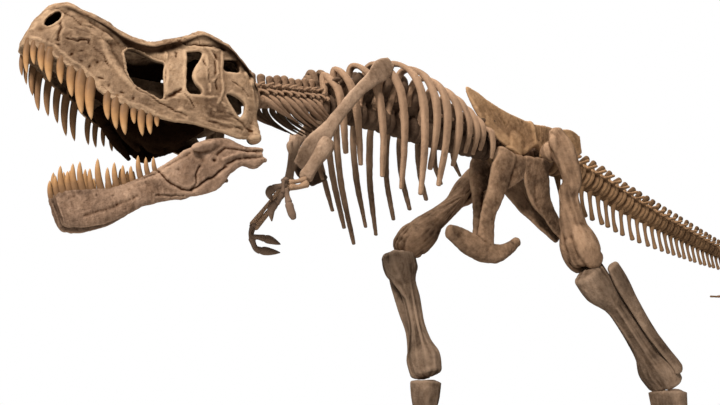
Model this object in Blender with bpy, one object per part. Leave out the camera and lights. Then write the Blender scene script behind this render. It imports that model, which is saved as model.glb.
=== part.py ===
"""Mounted skeleton of a large two-legged meat-eating dinosaur, on a plain flat base.

The head points to -X, the animal's left side to -Y, and the floor is z = 0.
The origin lies on the floor under the hips, at the middle of the base.
"""

import math

import bmesh
import bpy
import numpy as np

# Driving dimensions, in metres
GAP = 0.0004                    # clearance between bones that meet
BASE_LENGTH = 3.8
BASE_WIDTH = 2.1
BASE_HEIGHT = 0.10
BASE_CHAMFER = 0.012
LEFT = -1
RIGHT = 1

# The vertebral column's centre line, from the back of the skull to the tip of the tail
COLUMN_LINE = [(-3.105, -0.457, 2.725), (-3.0, -0.43, 2.765), (-2.8, -0.38, 2.82), (-2.5, -0.29, 2.91),
               (-2.25, -0.185, 2.985), (-1.95, -0.09, 3.04), (-1.6, -0.02, 3.07), (-1.2, 0.0, 3.06),
               (-0.8, 0.0, 3.06), (-0.45, 0.0, 3.07), (-0.1, 0.0, 3.09), (0.42, 0.0, 3.08),
               (0.75, 0.0, 3.06), (1.04, 0.0, 2.996), (1.32, 0.0, 2.93), (1.655, 0.0, 2.83),
               (2.1, 0.0, 2.732), (2.655, 0.05, 2.66), (3.286, 0.12, 2.59), (3.83, 0.20, 2.55),
               (4.5, 0.29, 2.51), (5.15, 0.40, 2.46), (5.7, 0.60, 2.39), (6.0, 0.90, 2.32),
               (5.95, 1.18, 2.27), (5.78, 1.32, 2.245), (5.62, 1.385, 2.24)]
TRUNK_START = -2.5              # x of the first trunk vertebra's front face
SACRUM_START = -0.45
TAIL_START = 0.42
NECK_RADIUS = 0.075
TRUNK_RADIUS = 0.10
TAIL_RADIUS = (0.105, 0.10, 0.085, 0.06, 0.035, 0.012)
TAIL_PARTS = 4
TAIL_BONES = 48
LAST_SPINE = 0.72               # share of the tail that has tall spines above it
LAST_CHEVRON = 0.86             # and rods below it
NECK_BONES = 9

# Skull: its own frame starts midway between the jaw joints; x runs to the snout, y left, z up
SKULL_ORIGIN = (-3.183, -0.466, 2.349)
SKULL_YAW = 0.055
JAW_YAW = 0.09
SKULL_PITCH = 0.10
JAW_GAPE = 0.52
SKULL_TOP = [(1.398, 0.21), (1.372, 0.32), (1.331, 0.425), (1.263, 0.49), (1.121, 0.485), (1.017, 0.475),
             (0.897, 0.435), (0.808, 0.43), (0.721, 0.45), (0.617, 0.515), (0.54, 0.555), (0.459, 0.62),
             (0.356, 0.615), (0.271, 0.60), (0.185, 0.545), (0.09, 0.475), (0.03, 0.40)]
SKULL_LOW = [(1.398, 0.142), (1.347, 0.138), (1.271, 0.108), (1.135, 0.049), (1.049, 0.018),
             (0.955, -0.045), (0.867, -0.075), (0.752, -0.085), (0.55, -0.09), (0.428, -0.071),
             (0.265, -0.072), (0.077, -0.055), (0.03, -0.02)]
SKULL_HALF_WIDTH = [(1.398, 0.055), (1.36, 0.10), (1.33, 0.125), (1.25, 0.163), (1.1, 0.198), (1.0, 0.213),
                    (0.9, 0.231), (0.75, 0.241), (0.6, 0.256), (0.45, 0.281), (0.3, 0.30), (0.1, 0.303),
                    (0.03, 0.28)]
ROOF_SHARE = [(1.398, 0.5), (1.25, 0.62), (0.9, 0.62), (0.72, 0.62), (0.5, 0.80), (0.3, 0.78), (0.03, 0.7)]
SKULL_STATIONS = (1.398, 1.37, 1.33, 1.26, 1.13, 1.02, 0.9, 0.8, 0.71, 0.6, 0.53, 0.46, 0.36, 0.27, 0.18,
                  0.09, 0.03)
SKULL_WALL = 0.05
NOSTRIL = [(1.345, 0.255), (1.318, 0.235), (1.30, 0.27), (1.262, 0.35), (1.25, 0.39), (1.275, 0.40),
           (1.31, 0.33)]
CHEEK_WINDOW = [(0.99, 0.325), (0.93, 0.25), (0.84, 0.148), (0.775, 0.068), (0.668, 0.041),
                (0.648, 0.149), (0.657, 0.249), (0.756, 0.318), (0.882, 0.345)]
EYE_SOCKET = [(0.545, 0.39), (0.448, 0.425), (0.440, 0.29), (0.405, 0.148), (0.492, 0.135), (0.528, 0.26)]
TEMPLE_WINDOW = [(0.295, 0.43), (0.217, 0.415), (0.154, 0.343), (0.172, 0.181), (0.12, 0.105),
                 (0.225, 0.10), (0.27, 0.202), (0.292, 0.319)]
# (place along the jaw, length on the left, length on the right)
UPPER_TEETH = [(1.375, 0.17, 0.12), (1.345, 0.11, 0.15), (1.304, 0.128, 0.18), (1.262, 0.165, 0.235),
               (1.200, 0.134, 0.215), (1.140, 0.167, 0.21), (1.084, 0.235, 0.25), (1.028, 0.225, 0.235),
               (0.929, 0.139, 0.165), (0.880, 0.167, 0.15), (0.829, 0.175, 0.12), (0.777, 0.09, 0.13),
               (0.730, 0.145, 0.10), (0.683, 0.12, 0.11), (0.643, 0.06, 0.07)]
FRONT_TOOTH = 1.32              # teeth ahead of this are narrow and close together
JAW_TOP = [(1.268, -0.044), (1.197, -0.045), (1.077, -0.069), (0.978, -0.09), (0.866, -0.086),
           (0.759, -0.067), (0.679, -0.047), (0.587, -0.016), (0.487, 0.014), (0.32, 0.047),
           (0.208, 0.017), (0.15, -0.035), (0.04, -0.078)]
JAW_LOW = [(1.268, -0.16), (1.25, -0.225), (1.2, -0.258), (1.148, -0.267), (1.051, -0.276), (0.951, -0.268),
           (0.84, -0.243), (0.75, -0.223), (0.66, -0.216), (0.55, -0.224), (0.45, -0.238), (0.38, -0.24),
           (0.265, -0.19), (0.174, -0.165), (0.113, -0.20), (0.04, -0.18)]
JAW_STATIONS = (1.245, 1.215, 1.15, 1.05, 0.95, 0.81, 0.70, 0.60, 0.50, 0.40, 0.32, 0.22, 0.15, 0.10, 0.04)
JAW_SIDE = [(1.268, 0.036), (1.2, 0.072), (1.08, 0.103), (0.98, 0.12), (0.87, 0.137), (0.76, 0.152),
            (0.59, 0.183), (0.49, 0.202), (0.32, 0.235), (0.2, 0.252), (0.04, 0.265)]
JAW_THICK = 0.07
JAW_BELLY = {1: -0.04, -1: 0.03}     # the left branch hangs a little deeper than the right one
LOWER_TEETH = [(1.228, 0.10), (1.20, 0.145), (1.17, 0.11), (1.14, 0.15), (1.105, 0.16), (1.06, 0.12),
               (1.015, 0.175), (0.97, 0.12), (0.93, 0.14), (0.885, 0.11), (0.84, 0.09), (0.79, 0.13),
               (0.745, 0.10), (0.70, 0.08)]

# Ribs: (x where it starts, height of its tip, half width of the cage there, rise over the column)
RIBS_LEFT = [(-2.44, 2.52, 0.16, 0.22), (-2.32, 2.46, 0.21, 0.27), (-2.14, 2.40, 0.32, 0.31),
             (-1.965, 2.32, 0.42, 0.34), (-1.77, 2.30, 0.50, 0.37), (-1.58, 2.54, 0.51, 0.37),
             (-1.42, 2.42, 0.50, 0.34), (-1.23, 2.64, 0.46, 0.32), (-1.05, 2.81, 0.40, 0.31),
             (-0.92, 2.83, 0.35, 0.27), (-0.79, 2.91, 0.30, 0.23), (-0.62, 2.88, 0.24, 0.17)]
RIBS_RIGHT = [(-2.44, 2.52, 0.18, 0.24), (-2.33, 2.40, 0.25, 0.30), (-2.15, 2.20, 0.36, 0.35),
              (-1.93, 2.11, 0.45, 0.38), (-1.79, 2.00, 0.49, 0.37), (-1.61, 2.18, 0.51, 0.37),
              (-1.45, 2.13, 0.52, 0.35), (-1.27, 2.30, 0.51, 0.33), (-1.13, 2.42, 0.48, 0.32),
              (-0.97, 2.53, 0.42, 0.29), (-0.81, 2.70, 0.36, 0.25), (-0.63, 2.80, 0.28, 0.17)]
SHORT_RIB = 0.6
RIB_BREADTH = 0.074
RIB_THICKNESS = 0.044
RIB_SWEEP = 0.25                # how far a rib starts ahead of its shaft, as a share of the half width
TIP_BACK = {LEFT: 0.045, RIGHT: 0.0}

# Joints of the limbs, as (x, y, z)
HIP_LEFT = (0.03, -0.36, 3.0)
KNEE_LEFT = (0.28, -0.44, 2.0)
ANKLE_LEFT = (1.085, -0.60, 0.84)
FOOT_LEFT = (1.05, -0.62, 0.215)
HIP_RIGHT = (0.0, 0.36, 3.0)
KNEE_RIGHT = (-0.97, 0.70, 2.15)
ANKLE_RIGHT = (-0.94, 0.42, 0.925)
FOOT_RIGHT = (-1.02, 0.40, 0.215)

# Rings of a toe: (share of its length, height, half width)
TOE_RINGS = [(-0.06, 0.09, 0.045), (0.10, 0.10, 0.05), (0.24, 0.075, 0.038), (0.38, 0.095, 0.046),
             (0.62, 0.078, 0.04), (0.80, 0.055, 0.022), (1.02, 0.012, 0.006)]
THIGH_AHEAD = {LEFT: 0.01, RIGHT: -0.03}
FIBULA_BACK = {LEFT: 0.05, RIGHT: 0.0}
KNEE_TO_SHIN = {LEFT: 0.20, RIGHT: 0.165}
SHIN_AHEAD = {LEFT: 0.125, RIGHT: 0.115}
KNOB_AHEAD = {LEFT: 0.01, RIGHT: -0.03}
KNOB_DROP = {LEFT: 0.02, RIGHT: -0.08}
FOOT_SPREAD = {LEFT: 1.2, RIGHT: 1.0}

COLOURS = {
    "skull": (0.42, 0.29, 0.18),
    "bone": (0.30, 0.19, 0.12),
    "pale_bone": (0.40, 0.29, 0.20),
    "base": (0.10, 0.10, 0.105),
}


def material(name, roughness=0.7):
    made = bpy.data.materials.get(name)
    if made is None:
        made = bpy.data.materials.new(name)
        made.use_nodes = True
        shader = made.node_tree.nodes["Principled BSDF"]
        shader.inputs["Base Color"].default_value = (*COLOURS[name], 1.0)
        shader.inputs["Roughness"].default_value = roughness
        shader.inputs["Metallic"].default_value = 0.0
    return made


def add_object(name, points, faces, finish):
    mesh = bpy.data.meshes.new(name)
    mesh.from_pydata([tuple(map(float, p)) for p in points], [], faces)
    mesh.update()
    mesh.materials.append(material(finish))
    mesh.shade_smooth()
    mesh.set_sharp_from_angle(angle=math.radians(50))
    made = bpy.data.objects.new(name, mesh)
    bpy.context.scene.collection.objects.link(made)
    return made


def boolean(target, helper, operation):
    step = target.modifiers.new(helper.name, "BOOLEAN")
    step.object = helper
    step.operation = operation
    step.solver = "EXACT"


class Shape:
    """Closed rings of points, joined in turn and capped, gathered into one list of points and faces."""

    def __init__(self):
        self.points = []
        self.faces = []

    def rings(self, rings):
        start = len(self.points)
        count = len(rings[0])
        for ring in rings:
            self.points.extend(ring)
        for k in range(len(rings) - 1):
            low = start + k * count
            for i in range(count):
                j = (i + 1) % count
                self.faces.append((low + i, low + j, low + count + j, low + count + i))
        self.faces.append(tuple(range(start + count - 1, start - 1, -1)))
        last = start + (len(rings) - 1) * count
        self.faces.append(tuple(range(last, last + count)))
        return self

    def make(self, name, finish):
        made = add_object(name, self.points, self.faces, finish)
        tidy = bmesh.new()
        tidy.from_mesh(made.data)
        bmesh.ops.recalc_face_normals(tidy, faces=tidy.faces)
        tidy.to_mesh(made.data)
        tidy.free()
        return made

    def helper(self, name):
        made = self.make(name, "bone")
        made.hide_render = True
        made.display_type = "WIRE"
        return made


def unit(v):
    v = np.asarray(v, float)
    return v / np.linalg.norm(v)


def curve(points, count):
    """A smooth curve through the points, read at count places evenly spread along its length."""
    p = np.asarray(points, float)
    p = np.vstack([2 * p[0] - p[1], p, 2 * p[-1] - p[-2]])
    t = np.linspace(0, 1, 24, endpoint=False)[:, None]
    dense = []
    for a, b, c, d in zip(p, p[1:], p[2:], p[3:]):
        dense.append(0.5 * (2 * b + (c - a) * t + (2 * a - 5 * b + 4 * c - d) * t ** 2
                            + (3 * b - a - 3 * c + d) * t ** 3))
    dense = np.vstack([*dense, p[-2:-1]])
    run = np.concatenate([[0], np.cumsum(np.linalg.norm(np.diff(dense, axis=0), axis=1))])
    want = np.linspace(0, run[-1], count)
    return np.column_stack([np.interp(want, run, dense[:, k]) for k in range(3)])


def frames(line, up=(0, 0, 1)):
    """At each point of a line: its direction, the direction to the side and the one that stands on both."""
    line = np.asarray(line, float)
    ahead = np.gradient(line, axis=0)
    ahead /= np.linalg.norm(ahead, axis=1)[:, None]
    side = np.cross(ahead, np.asarray(up, float))
    side /= np.linalg.norm(side, axis=1)[:, None]
    return ahead, side, np.cross(side, ahead)


def oval(centre, side, up, half_side, half_up, count, turn=0.0):
    angle = np.arange(count) * 2 * math.pi / count + turn
    return [centre + math.cos(a) * half_side * side + math.sin(a) * half_up * up for a in angle]


def limb(shape, line, widths, depths, count=8, up=(0, 0, 1)):
    """A bone that follows a line; widths lie along `side`, depths along the direction that stands on it."""
    line = np.asarray(line, float)
    _, side, over = frames(line, up)
    share = np.linspace(0, 1, len(line))
    wide = np.interp(share, np.linspace(0, 1, len(widths)), widths)
    deep = np.interp(share, np.linspace(0, 1, len(depths)), depths)
    return shape.rings([oval(c, s, u, a, b, count, math.pi / count)
                        for c, s, u, a, b in zip(line, side, over, wide, deep)])


def lump(shape, centre, radii, axes, count=8):
    """A rounded knob of three rings and two small caps."""
    centre = np.asarray(centre, float)
    long_way, side, over = (unit(a) for a in axes)
    rings = []
    for along, size in ((-0.92, 0.38), (-0.5, 0.86), (0.0, 1.0), (0.5, 0.86), (0.92, 0.38)):
        rings.append(oval(centre + along * radii[0] * long_way, side, over,
                          size * radii[1], size * radii[2], count))
    return shape.rings(rings)


def at(table, x):
    """Reads a table of (x, value) pairs at x."""
    pairs = sorted(table)
    return float(np.interp(x, [p[0] for p in pairs], [p[1] for p in pairs]))


class Head:
    """The skull's own axes, turned by an angle of gape for the lower jaw."""

    def __init__(self, yaw, gape):
        forward = np.array([-math.cos(yaw) * math.cos(SKULL_PITCH),
                            -math.sin(yaw) * math.cos(SKULL_PITCH), math.sin(SKULL_PITCH)])
        self.left = np.array([math.sin(yaw), -math.cos(yaw), 0.0])
        up = np.cross(forward, self.left)
        self.forward = forward * math.cos(gape) - up * math.sin(gape)
        self.up = forward * math.sin(gape) + up * math.cos(gape)

    def place(self, x, y, z):
        return np.array(SKULL_ORIGIN) + x * self.forward + y * self.left + z * self.up


def tooth(shape, head, root, length, radius, droop):
    """A curved pointed tooth; droop is -1 for an upper tooth and 1 for a lower one."""
    x, y, z = root
    rings = []
    for share, size in ((-0.16, 1.0), (0.55, 0.8), (1.0, 0.06)):
        centre = head.place(x - 0.16 * length * share ** 2, y, z + droop * length * share)
        rings.append(oval(centre, head.forward, head.left, radius * size, radius * 0.7 * size, 3))
    shape.rings(rings)


def section(head, x, low, top, half, roof):
    height = top - low
    outline = [(0.95, 0.0), (1.0, 0.3), (0.95, 0.62), (roof, 0.93), (roof * 0.45, 1.0)]
    left = [(half * w, low + height * h) for w, h in outline]
    right = [(-y, z) for y, z in reversed(left)]
    return [head.place(x, y, z) for y, z in left + right]


def prism(head, outline, near, far):
    shape = Shape()
    shape.rings([[head.place(x, y, z) for x, z in outline] for y in (near, far)])
    return shape


def make_cranium():
    head = Head(SKULL_YAW, 0.0)
    skull = Shape()
    skull.rings([section(head, x, at(SKULL_LOW, x), at(SKULL_TOP, x), at(SKULL_HALF_WIDTH, x),
                         at(ROOF_SHARE, x)) for x in SKULL_STATIONS])
    made = skull.make("cranium", "skull")
    mouth = Shape()
    rings = []
    for x in (1.24, 1.0, 0.75, 0.55, 0.33, 0.13):
        half = at(SKULL_HALF_WIDTH, x) - SKULL_WALL
        low = at(SKULL_LOW, x) - 0.12
        top = at(SKULL_TOP, x) - 0.09
        rings.append([head.place(x, y, z) for y, z in (
            (half, low), (half * 0.95, top - 0.12), (half * 0.5, top), (-half * 0.5, top),
            (-half * 0.95, top - 0.12), (-half, low))])
    mouth.rings(rings)
    boolean(made, mouth.helper("cut_mouth"), "DIFFERENCE")
    for name, outline in (("cheek", CHEEK_WINDOW), ("eye", EYE_SOCKET), ("temple", TEMPLE_WINDOW)):
        boolean(made, prism(head, outline, -0.5, 0.5).helper("cut_" + name), "DIFFERENCE")
    for name, side in (("left", 1), ("right", -1)):
        cut = prism(head, NOSTRIL, 0.05 * side, 0.3 * side)
        boolean(made, cut.helper("cut_nostril_" + name), "DIFFERENCE")
    teeth = Shape()
    for side in (1, -1):
        for x, left_length, right_length in UPPER_TEETH:
            length = left_length if side == 1 else right_length
            root = (x - 0.008, side * (at(SKULL_HALF_WIDTH, x - 0.02) - 0.027), at(SKULL_LOW, x) + 0.004)
            radius = 0.017 if x > FRONT_TOOTH else 0.10 * length + 0.008
            tooth(teeth, head, root, length, radius, -1)
    boolean(made, teeth.helper("teeth_upper"), "UNION")
    braincase = Shape()
    back = [head.place(x, 0, 0.36) for x in (0.30, 0.14, 0.02, -0.03)]
    limb(braincase, back, (0.13, 0.12, 0.06, 0.03), (0.10, 0.10, 0.05, 0.03))
    boolean(made, braincase.helper("braincase"), "UNION")


def make_jaw(name, side):
    head = Head(JAW_YAW, JAW_GAPE)
    jaw = Shape()
    rings = []
    for x in JAW_STATIONS:
        low = at(JAW_LOW, x) + JAW_BELLY[side] * max(0.0, 1.0 - ((x - 0.56) / 0.27) ** 2)
        top = at(JAW_TOP, x)
        middle = at(JAW_SIDE, x)
        half = JAW_THICK * 0.5
        rings.append([head.place(x, side * (middle + half * w), low + (top - low) * h) for w, h in (
            (-0.5, 0.0), (-1.0, 0.35), (-0.7, 1.0), (0.7, 1.0), (1.0, 0.55), (0.5, 0.0))])
    jaw.rings(rings)
    made = jaw.make(name, "skull")
    teeth = Shape()
    for x, length in LOWER_TEETH:
        root = (x, side * at(JAW_SIDE, x), at(JAW_TOP, x) - 0.004)
        tooth(teeth, head, root, length, 0.07 * length + 0.01, 1)
    boolean(made, teeth.helper("teeth_" + name), "UNION")


class Column:
    """The whole centre line, read at a distance from the skull; its lengths share their end planes."""

    def __init__(self):
        self.line = curve(COLUMN_LINE, 900)
        self.run = np.linspace(0, np.linalg.norm(np.diff(self.line, axis=0), axis=1).sum(), len(self.line))
        self.ahead, self.side, self.over = frames(self.line)
        self.end = self.run[-1]

    def where(self, x):
        """Distance at which the line, ahead of the tail's curl, passes x."""
        reach = int(np.argmax(self.line[:, 0]))
        return float(np.interp(x, self.line[:reach, 0], self.run[:reach]))

    def read(self, distance):
        return [np.array([np.interp(distance, self.run, field[:, k]) for k in range(3)])
                for field in (self.line, self.ahead, self.side, self.over)]


COLUMN = Column()


def stations(start, end, count):
    """Evenly spread distances along a length of the column, kept off its neighbours by the clearance."""
    places = np.linspace(start, end, count)
    places[0] += GAP / 2
    places[-1] -= GAP / 2
    return places


def make_neck():
    places = stations(0.0, COLUMN.where(TRUNK_START), NECK_BONES * 2 + 1)
    tube = Shape()
    rings = []
    for place in places[::2]:
        c, a, s, u = COLUMN.read(place)
        rings.append(oval(c, s, u, NECK_RADIUS, NECK_RADIUS, 6, math.pi / 6))
    tube.rings(rings)
    made = tube.make("neck", "bone")
    extra = Shape()
    for number, place in enumerate(places[1:-1:2]):
        c, a, s, u = COLUMN.read(place)
        limb(extra, [c + 0.04 * u, c + 0.175 * u + 0.015 * a], (0.022, 0.02), (0.036, 0.028), 4, a)
        for way in (-1, 1) if number < NECK_BONES - 2 else ():
            root = c + way * 0.05 * s - 0.02 * u
            rib = [root, root + way * 0.055 * s - 0.07 * u + 0.04 * a,
                   root + way * 0.05 * s - 0.19 * u + 0.17 * a]
            limb(extra, rib, (0.018, 0.016, 0.007), (0.026, 0.02, 0.007), 3, s)
    boolean(made, extra.helper("neck_processes"), "UNION")


def make_ribs(name, way, ribs):
    """One side of the trunk's column, flat on the middle plane, with that side's ribs."""
    places = stations(COLUMN.where(TRUNK_START), COLUMN.where(SACRUM_START), 15)
    column = Shape()
    rings = []
    for k, place in enumerate(places):
        c, a, s, u = COLUMN.read(place)
        o = -way * s
        r = TRUNK_RADIUS * (1.0 if k % 2 else 0.86)
        rings.append([c + o * (GAP / 2 + w * r) + u * h * r for w, h in (
            (0.0, -1.4), (0.75, -1.0), (1.0, 0.0), (0.6, 0.9), (0.0, 1.3))])
    column.rings(rings)
    made = column.make(name, "bone")
    extra = Shape()
    for x, tip, half, rise in ribs:
        c, a, s, u = COLUMN.read(COLUMN.where(x))
        o = -way * s
        drop = c[2] - tip
        sweep = RIB_SWEEP * half * a
        tip_back = TIP_BACK[way] * a
        path = [c + 0.058 * o - sweep, c + 0.42 * half * o + (rise - 0.02) * u - 0.7 * sweep,
                c + 0.80 * half * o + (rise - 0.08) * u - 0.2 * sweep,
                c + half * o + 0.04 * u + 0.3 * tip_back,
                c + 0.96 * half * o - 0.45 * drop * u + 0.6 * tip_back,
                c + 0.74 * half * o - drop * u + tip_back]
        limb(extra, curve(path, 7 if drop > SHORT_RIB else 6),
             [share * RIB_THICKNESS for share in (0.4, 0.55, 0.5, 0.35)],
             [share * RIB_BREADTH for share in (0.35, 0.52, 0.55, 0.25)], 4, a)
        spine = [c + 0.022 * o + 0.03 * u, c + 0.022 * o + (rise - 0.10) * u]
        limb(extra, spine, (0.0165, 0.0165), (0.05, 0.045), 3, a)
    boolean(made, extra.helper("arches_" + name), "UNION")


def make_tail():
    start = COLUMN.where(TAIL_START)
    length = COLUMN.end - start
    per_part = TAIL_BONES // TAIL_PARTS
    for part in range(TAIL_PARTS):
        cut = [start + length * (part + k) / TAIL_PARTS for k in (0, 1)]
        tube = Shape()
        rings = []
        for place in stations(cut[0], cut[1], 6):
            c, a, s, u = COLUMN.read(place)
            r = tail_radius((place - start) / length)
            rings.append(oval(c, s, u, r, r, 6, math.pi / 6))
        tube.rings(rings)
        made = tube.make("tail_%d" % (part + 1), "bone")
        extra = Shape()
        for k in range(per_part):
            share = (part * per_part + k + 0.5) / TAIL_BONES
            size = 1 - share
            c, a, s, u = COLUMN.read(start + length * share)
            r = tail_radius(share)
            spine = 0.125 * size ** 0.8 + 0.025
            chevron = 0.36 * size ** 1.1
            if share < LAST_SPINE:
                rise = [c + 0.7 * r * u, c + (r + spine) * u + 0.75 * spine * a]
                limb(extra, rise, (0.014 + 0.014 * size,) * 2, (0.016 + 0.016 * size,) * 2, 3, a)
            if share < LAST_CHEVRON:
                hang = [c - 0.7 * r * u, c - (r + chevron) * u + 0.42 * chevron * a]
                limb(extra, hang, (0.014 + 0.012 * size,) * 2, (0.018 + 0.018 * size,) * 2, 3, a)
        if extra.faces:
            boolean(made, extra.helper("tail_processes_%d" % (part + 1)), "UNION")


def tail_radius(share):
    return float(np.interp(share, np.linspace(0, 1, len(TAIL_RADIUS)), TAIL_RADIUS))


def make_pelvis():
    sacrum = Shape()
    rings = []
    for place in stations(COLUMN.where(SACRUM_START), COLUMN.where(TAIL_START), 7):
        c, a, s, u = COLUMN.read(place)
        rings.append([c + s * w + u * h for w, h in (
            (0.0, -0.095), (0.085, -0.05), (0.09, 0.03), (0.02, 0.10), (0.02, 0.26), (-0.02, 0.26),
            (-0.02, 0.10), (-0.09, 0.03), (-0.085, -0.05))])
    sacrum.rings(rings)
    sacrum.make("sacrum", "bone")
    # Along each ilium: (x, top, bottom, distance from the middle plane, half thickness)
    blade = [(-0.84, 3.545, 3.495, 0.17, 0.012), (-0.74, 3.53, 3.33, 0.17, 0.022),
             (-0.55, 3.46, 3.16, 0.17, 0.026), (-0.34, 3.40, 3.03, 0.18, 0.034),
             (-0.16, 3.37, 2.99, 0.19, 0.045), (0.03, 3.35, 3.10, 0.19, 0.045),
             (0.20, 3.37, 3.01, 0.19, 0.042), (0.42, 3.39, 3.05, 0.17, 0.032),
             (0.64, 3.43, 3.12, 0.16, 0.028), (0.78, 3.40, 3.20, 0.15, 0.02)]
    for name, way in (("left", LEFT), ("right", RIGHT)):
        ilium = Shape()
        ilium.rings([[np.array((x, way * (y + w * t), low + (top - low) * h)) for w, h in (
            (-0.6, 0.0), (-1.0, 0.5), (-0.6, 1.0), (0.6, 1.0), (1.0, 0.5), (0.6, 0.0))]
            for x, top, low, y, t in blade])
        ilium.make("ilium_" + name, "pale_bone")
    pubis = Shape()
    boot = [(-0.97, 0, 2.155), (-0.86, 0, 2.125), (-0.68, 0, 2.05), (-0.45, 0, 2.01), (-0.25, 0, 2.08),
            (-0.11, 0, 2.17)]
    limb(pubis, curve(boot, 7), (0.05, 0.08, 0.085, 0.08, 0.07, 0.04),
         (0.065, 0.095, 0.105, 0.09, 0.062, 0.042), 8)
    made = pubis.make("pubis", "bone")
    for name, way in (("left", LEFT), ("right", RIGHT)):
        shaft = [(-0.36, 0.175 * way, 2.965), (-0.40, 0.165 * way, 2.86), (-0.46, 0.11 * way, 2.60),
                 (-0.53, 0.05 * way, 2.35), (-0.56, 0.025 * way, 2.08)]
        shape = limb(Shape(), shaft, (0.13, 0.13, 0.105, 0.095, 0.10), (0.055, 0.05, 0.045, 0.04, 0.045), 8,
                     (0, 1, 0))
        boolean(made, shape.helper("pubis_shaft_" + name), "UNION")
    for name, way in (("left", LEFT), ("right", RIGHT)):
        ischium = Shape()
        rod = [(0.10, 0.185 * way, 2.975), (0.10, 0.17 * way, 2.85), (0.16, 0.12 * way, 2.62),
               (0.34, 0.065 * way, 2.44), (0.52, 0.045 * way, 2.28)]
        limb(ischium, rod, (0.12, 0.12, 0.12, 0.105, 0.06), (0.045, 0.04, 0.035, 0.03, 0.03), 6, (0, 1, 0))
        ischium.make("ischium_" + name, "bone")


def leg_axes(upper, lower, way):
    """Down the bone, to its front and to the animal's outside."""
    down = unit(np.subtract(lower, upper))
    fore = unit(np.array((-1.0, 0.0, 0.0)) + down[0] * down)
    out = np.cross(down, fore)
    return down, fore, out * way * (1 if out[1] > 0 else -1)


def make_thigh(name, way, hip, knee):
    hip, knee = np.array(hip, float), np.array(knee, float)
    down, fore, out = leg_axes(hip, knee, way)
    top = hip + 0.14 * out - 0.15 * down
    femur = Shape()
    middle = hip + 0.45 * (knee - hip) + 0.06 * out + THIGH_AHEAD[way] * fore
    shaft = curve([top, hip + 0.15 * out + 0.30 * down, middle, knee - 0.30 * down, knee - 0.10 * down,
                   knee], 8)
    limb(femur, shaft, (0.08, 0.12, 0.10, 0.095, 0.10, 0.125, 0.15, 0.10),
         (0.07, 0.11, 0.10, 0.09, 0.095, 0.12, 0.17, 0.14), 8, fore)
    made = femur.make("femur_" + name, "bone")
    boolean(made, lump(Shape(), hip + 0.015 * out, (0.10, 0.085, 0.09), (out, down, fore), 6).helper(
        "femur_head_" + name), "UNION")
    for turn, side in ((-1, "inner"), (1, "outer")):
        tilt = unit(down * 0.5 - fore)
        centre = knee + 0.095 * turn * out + KNOB_AHEAD[way] * fore + KNOB_DROP[way] * down
        knob = lump(Shape(), centre, (0.18, 0.10, 0.13), (tilt, out, np.cross(tilt, out)), 6)
        boolean(made, knob.helper("condyle_" + side + "_" + name), "UNION")


def make_shin(name, way, knee, ankle):
    knee, ankle = np.array(knee, float), np.array(ankle, float)
    down, fore, out = leg_axes(knee, ankle, way)
    start = knee + KNEE_TO_SHIN[way] * down
    tibia = Shape()
    ahead = SHIN_AHEAD[way] * fore
    shaft = curve([start + 0.9 * ahead, start + 0.09 * down + ahead, start + 0.33 * down,
                   knee + 0.55 * (ankle - knee), ankle - 0.22 * down, ankle - 0.06 * down, ankle], 9)
    limb(tibia, shaft, (0.10, 0.115, 0.09, 0.07, 0.07, 0.075, 0.09, 0.155, 0.14),
         (0.15, 0.155, 0.115, 0.095, 0.088, 0.085, 0.09, 0.13, 0.11), 8, fore)
    tibia.make("tibia_" + name, "bone")
    fibula = Shape()
    back = FIBULA_BACK[way]
    rod = curve([start + 0.17 * out - back * fore + 0.01 * down,
                 start + 0.16 * out - back * fore + 0.15 * down,
                 start + 0.14 * out - back * fore + 0.42 * down,
                 knee + 0.66 * (ankle - knee) + 0.14 * out - 0.04 * fore,
                 ankle - 0.17 * down + 0.185 * out - 0.03 * fore], 7)
    limb(fibula, rod, (0.036, 0.04, 0.03, 0.026, 0.024, 0.022, 0.022),
         (0.085, 0.10, 0.085, 0.07, 0.06, 0.055, 0.055), 6, fore)
    fibula.make("fibula_" + name, "bone")


def make_foot(name, way, ankle, foot):
    ankle, foot = np.array(ankle, float), np.array(foot, float)
    down, fore, out = leg_axes(ankle, foot, way)
    top = ankle + 0.085 * down
    made = None
    for label, spread, size in (("third", 0.0, 1.0), ("second", -1.0, 0.86), ("fourth", 1.0, 0.9)):
        wide = FOOT_SPREAD[way]
        line = [top + 0.08 * wide * spread * out, top + 0.5 * (foot - top) + 0.07 * wide * spread * out,
                foot + 0.105 * spread * out - 0.03 * abs(spread) * fore]
        shape = limb(Shape(), curve(line, 4),
                     (0.07 * size * wide, 0.05 * size * wide, 0.045 * size, 0.062 * size),
                     (0.11 * size, 0.075 * size, 0.06 * size, 0.075 * size), 6, fore)
        if made is None:
            made = shape.make("metatarsus_" + name, "bone")
        else:
            boolean(made, shape.helper("metatarsal_" + label + "_" + name), "UNION")
    for number, spread, length in ((2, -0.42, 0.50), (3, 0.0, 0.60), (4, 0.42, 0.48)):
        way_out = unit(np.array((-math.cos(spread), way * math.sin(spread), 0.0)))
        across = np.array((-way_out[1], way_out[0], 0.0))
        base = np.array((foot[0], foot[1] + 0.12 * np.sign(spread) * way, 0.0))
        rings = []
        floor = BASE_HEIGHT + GAP
        for share, height, half in TOE_RINGS:
            c = base + way_out * (share * length + 0.02)
            rings.append([c + across * half * w + np.array((0, 0, floor + height * h)) for w, h in (
                (0.7, 0.0), (1.0, 0.45), (0.55, 1.0), (-0.55, 1.0), (-1.0, 0.45), (-0.7, 0.0))])
        Shape().rings(rings).make("toe_%d_%s" % (number, name), "bone")


def make_shoulder(name, line):
    blade = limb(Shape(), curve(line, 9), (0.06, 0.095, 0.062, 0.055, 0.055, 0.056, 0.078, 0.10, 0.06),
                 (0.012, 0.02, 0.022, 0.024, 0.028, 0.035, 0.035, 0.028, 0.018), 6, (0, 1, 0))
    blade.make("shoulder_" + name, "pale_bone")


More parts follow.
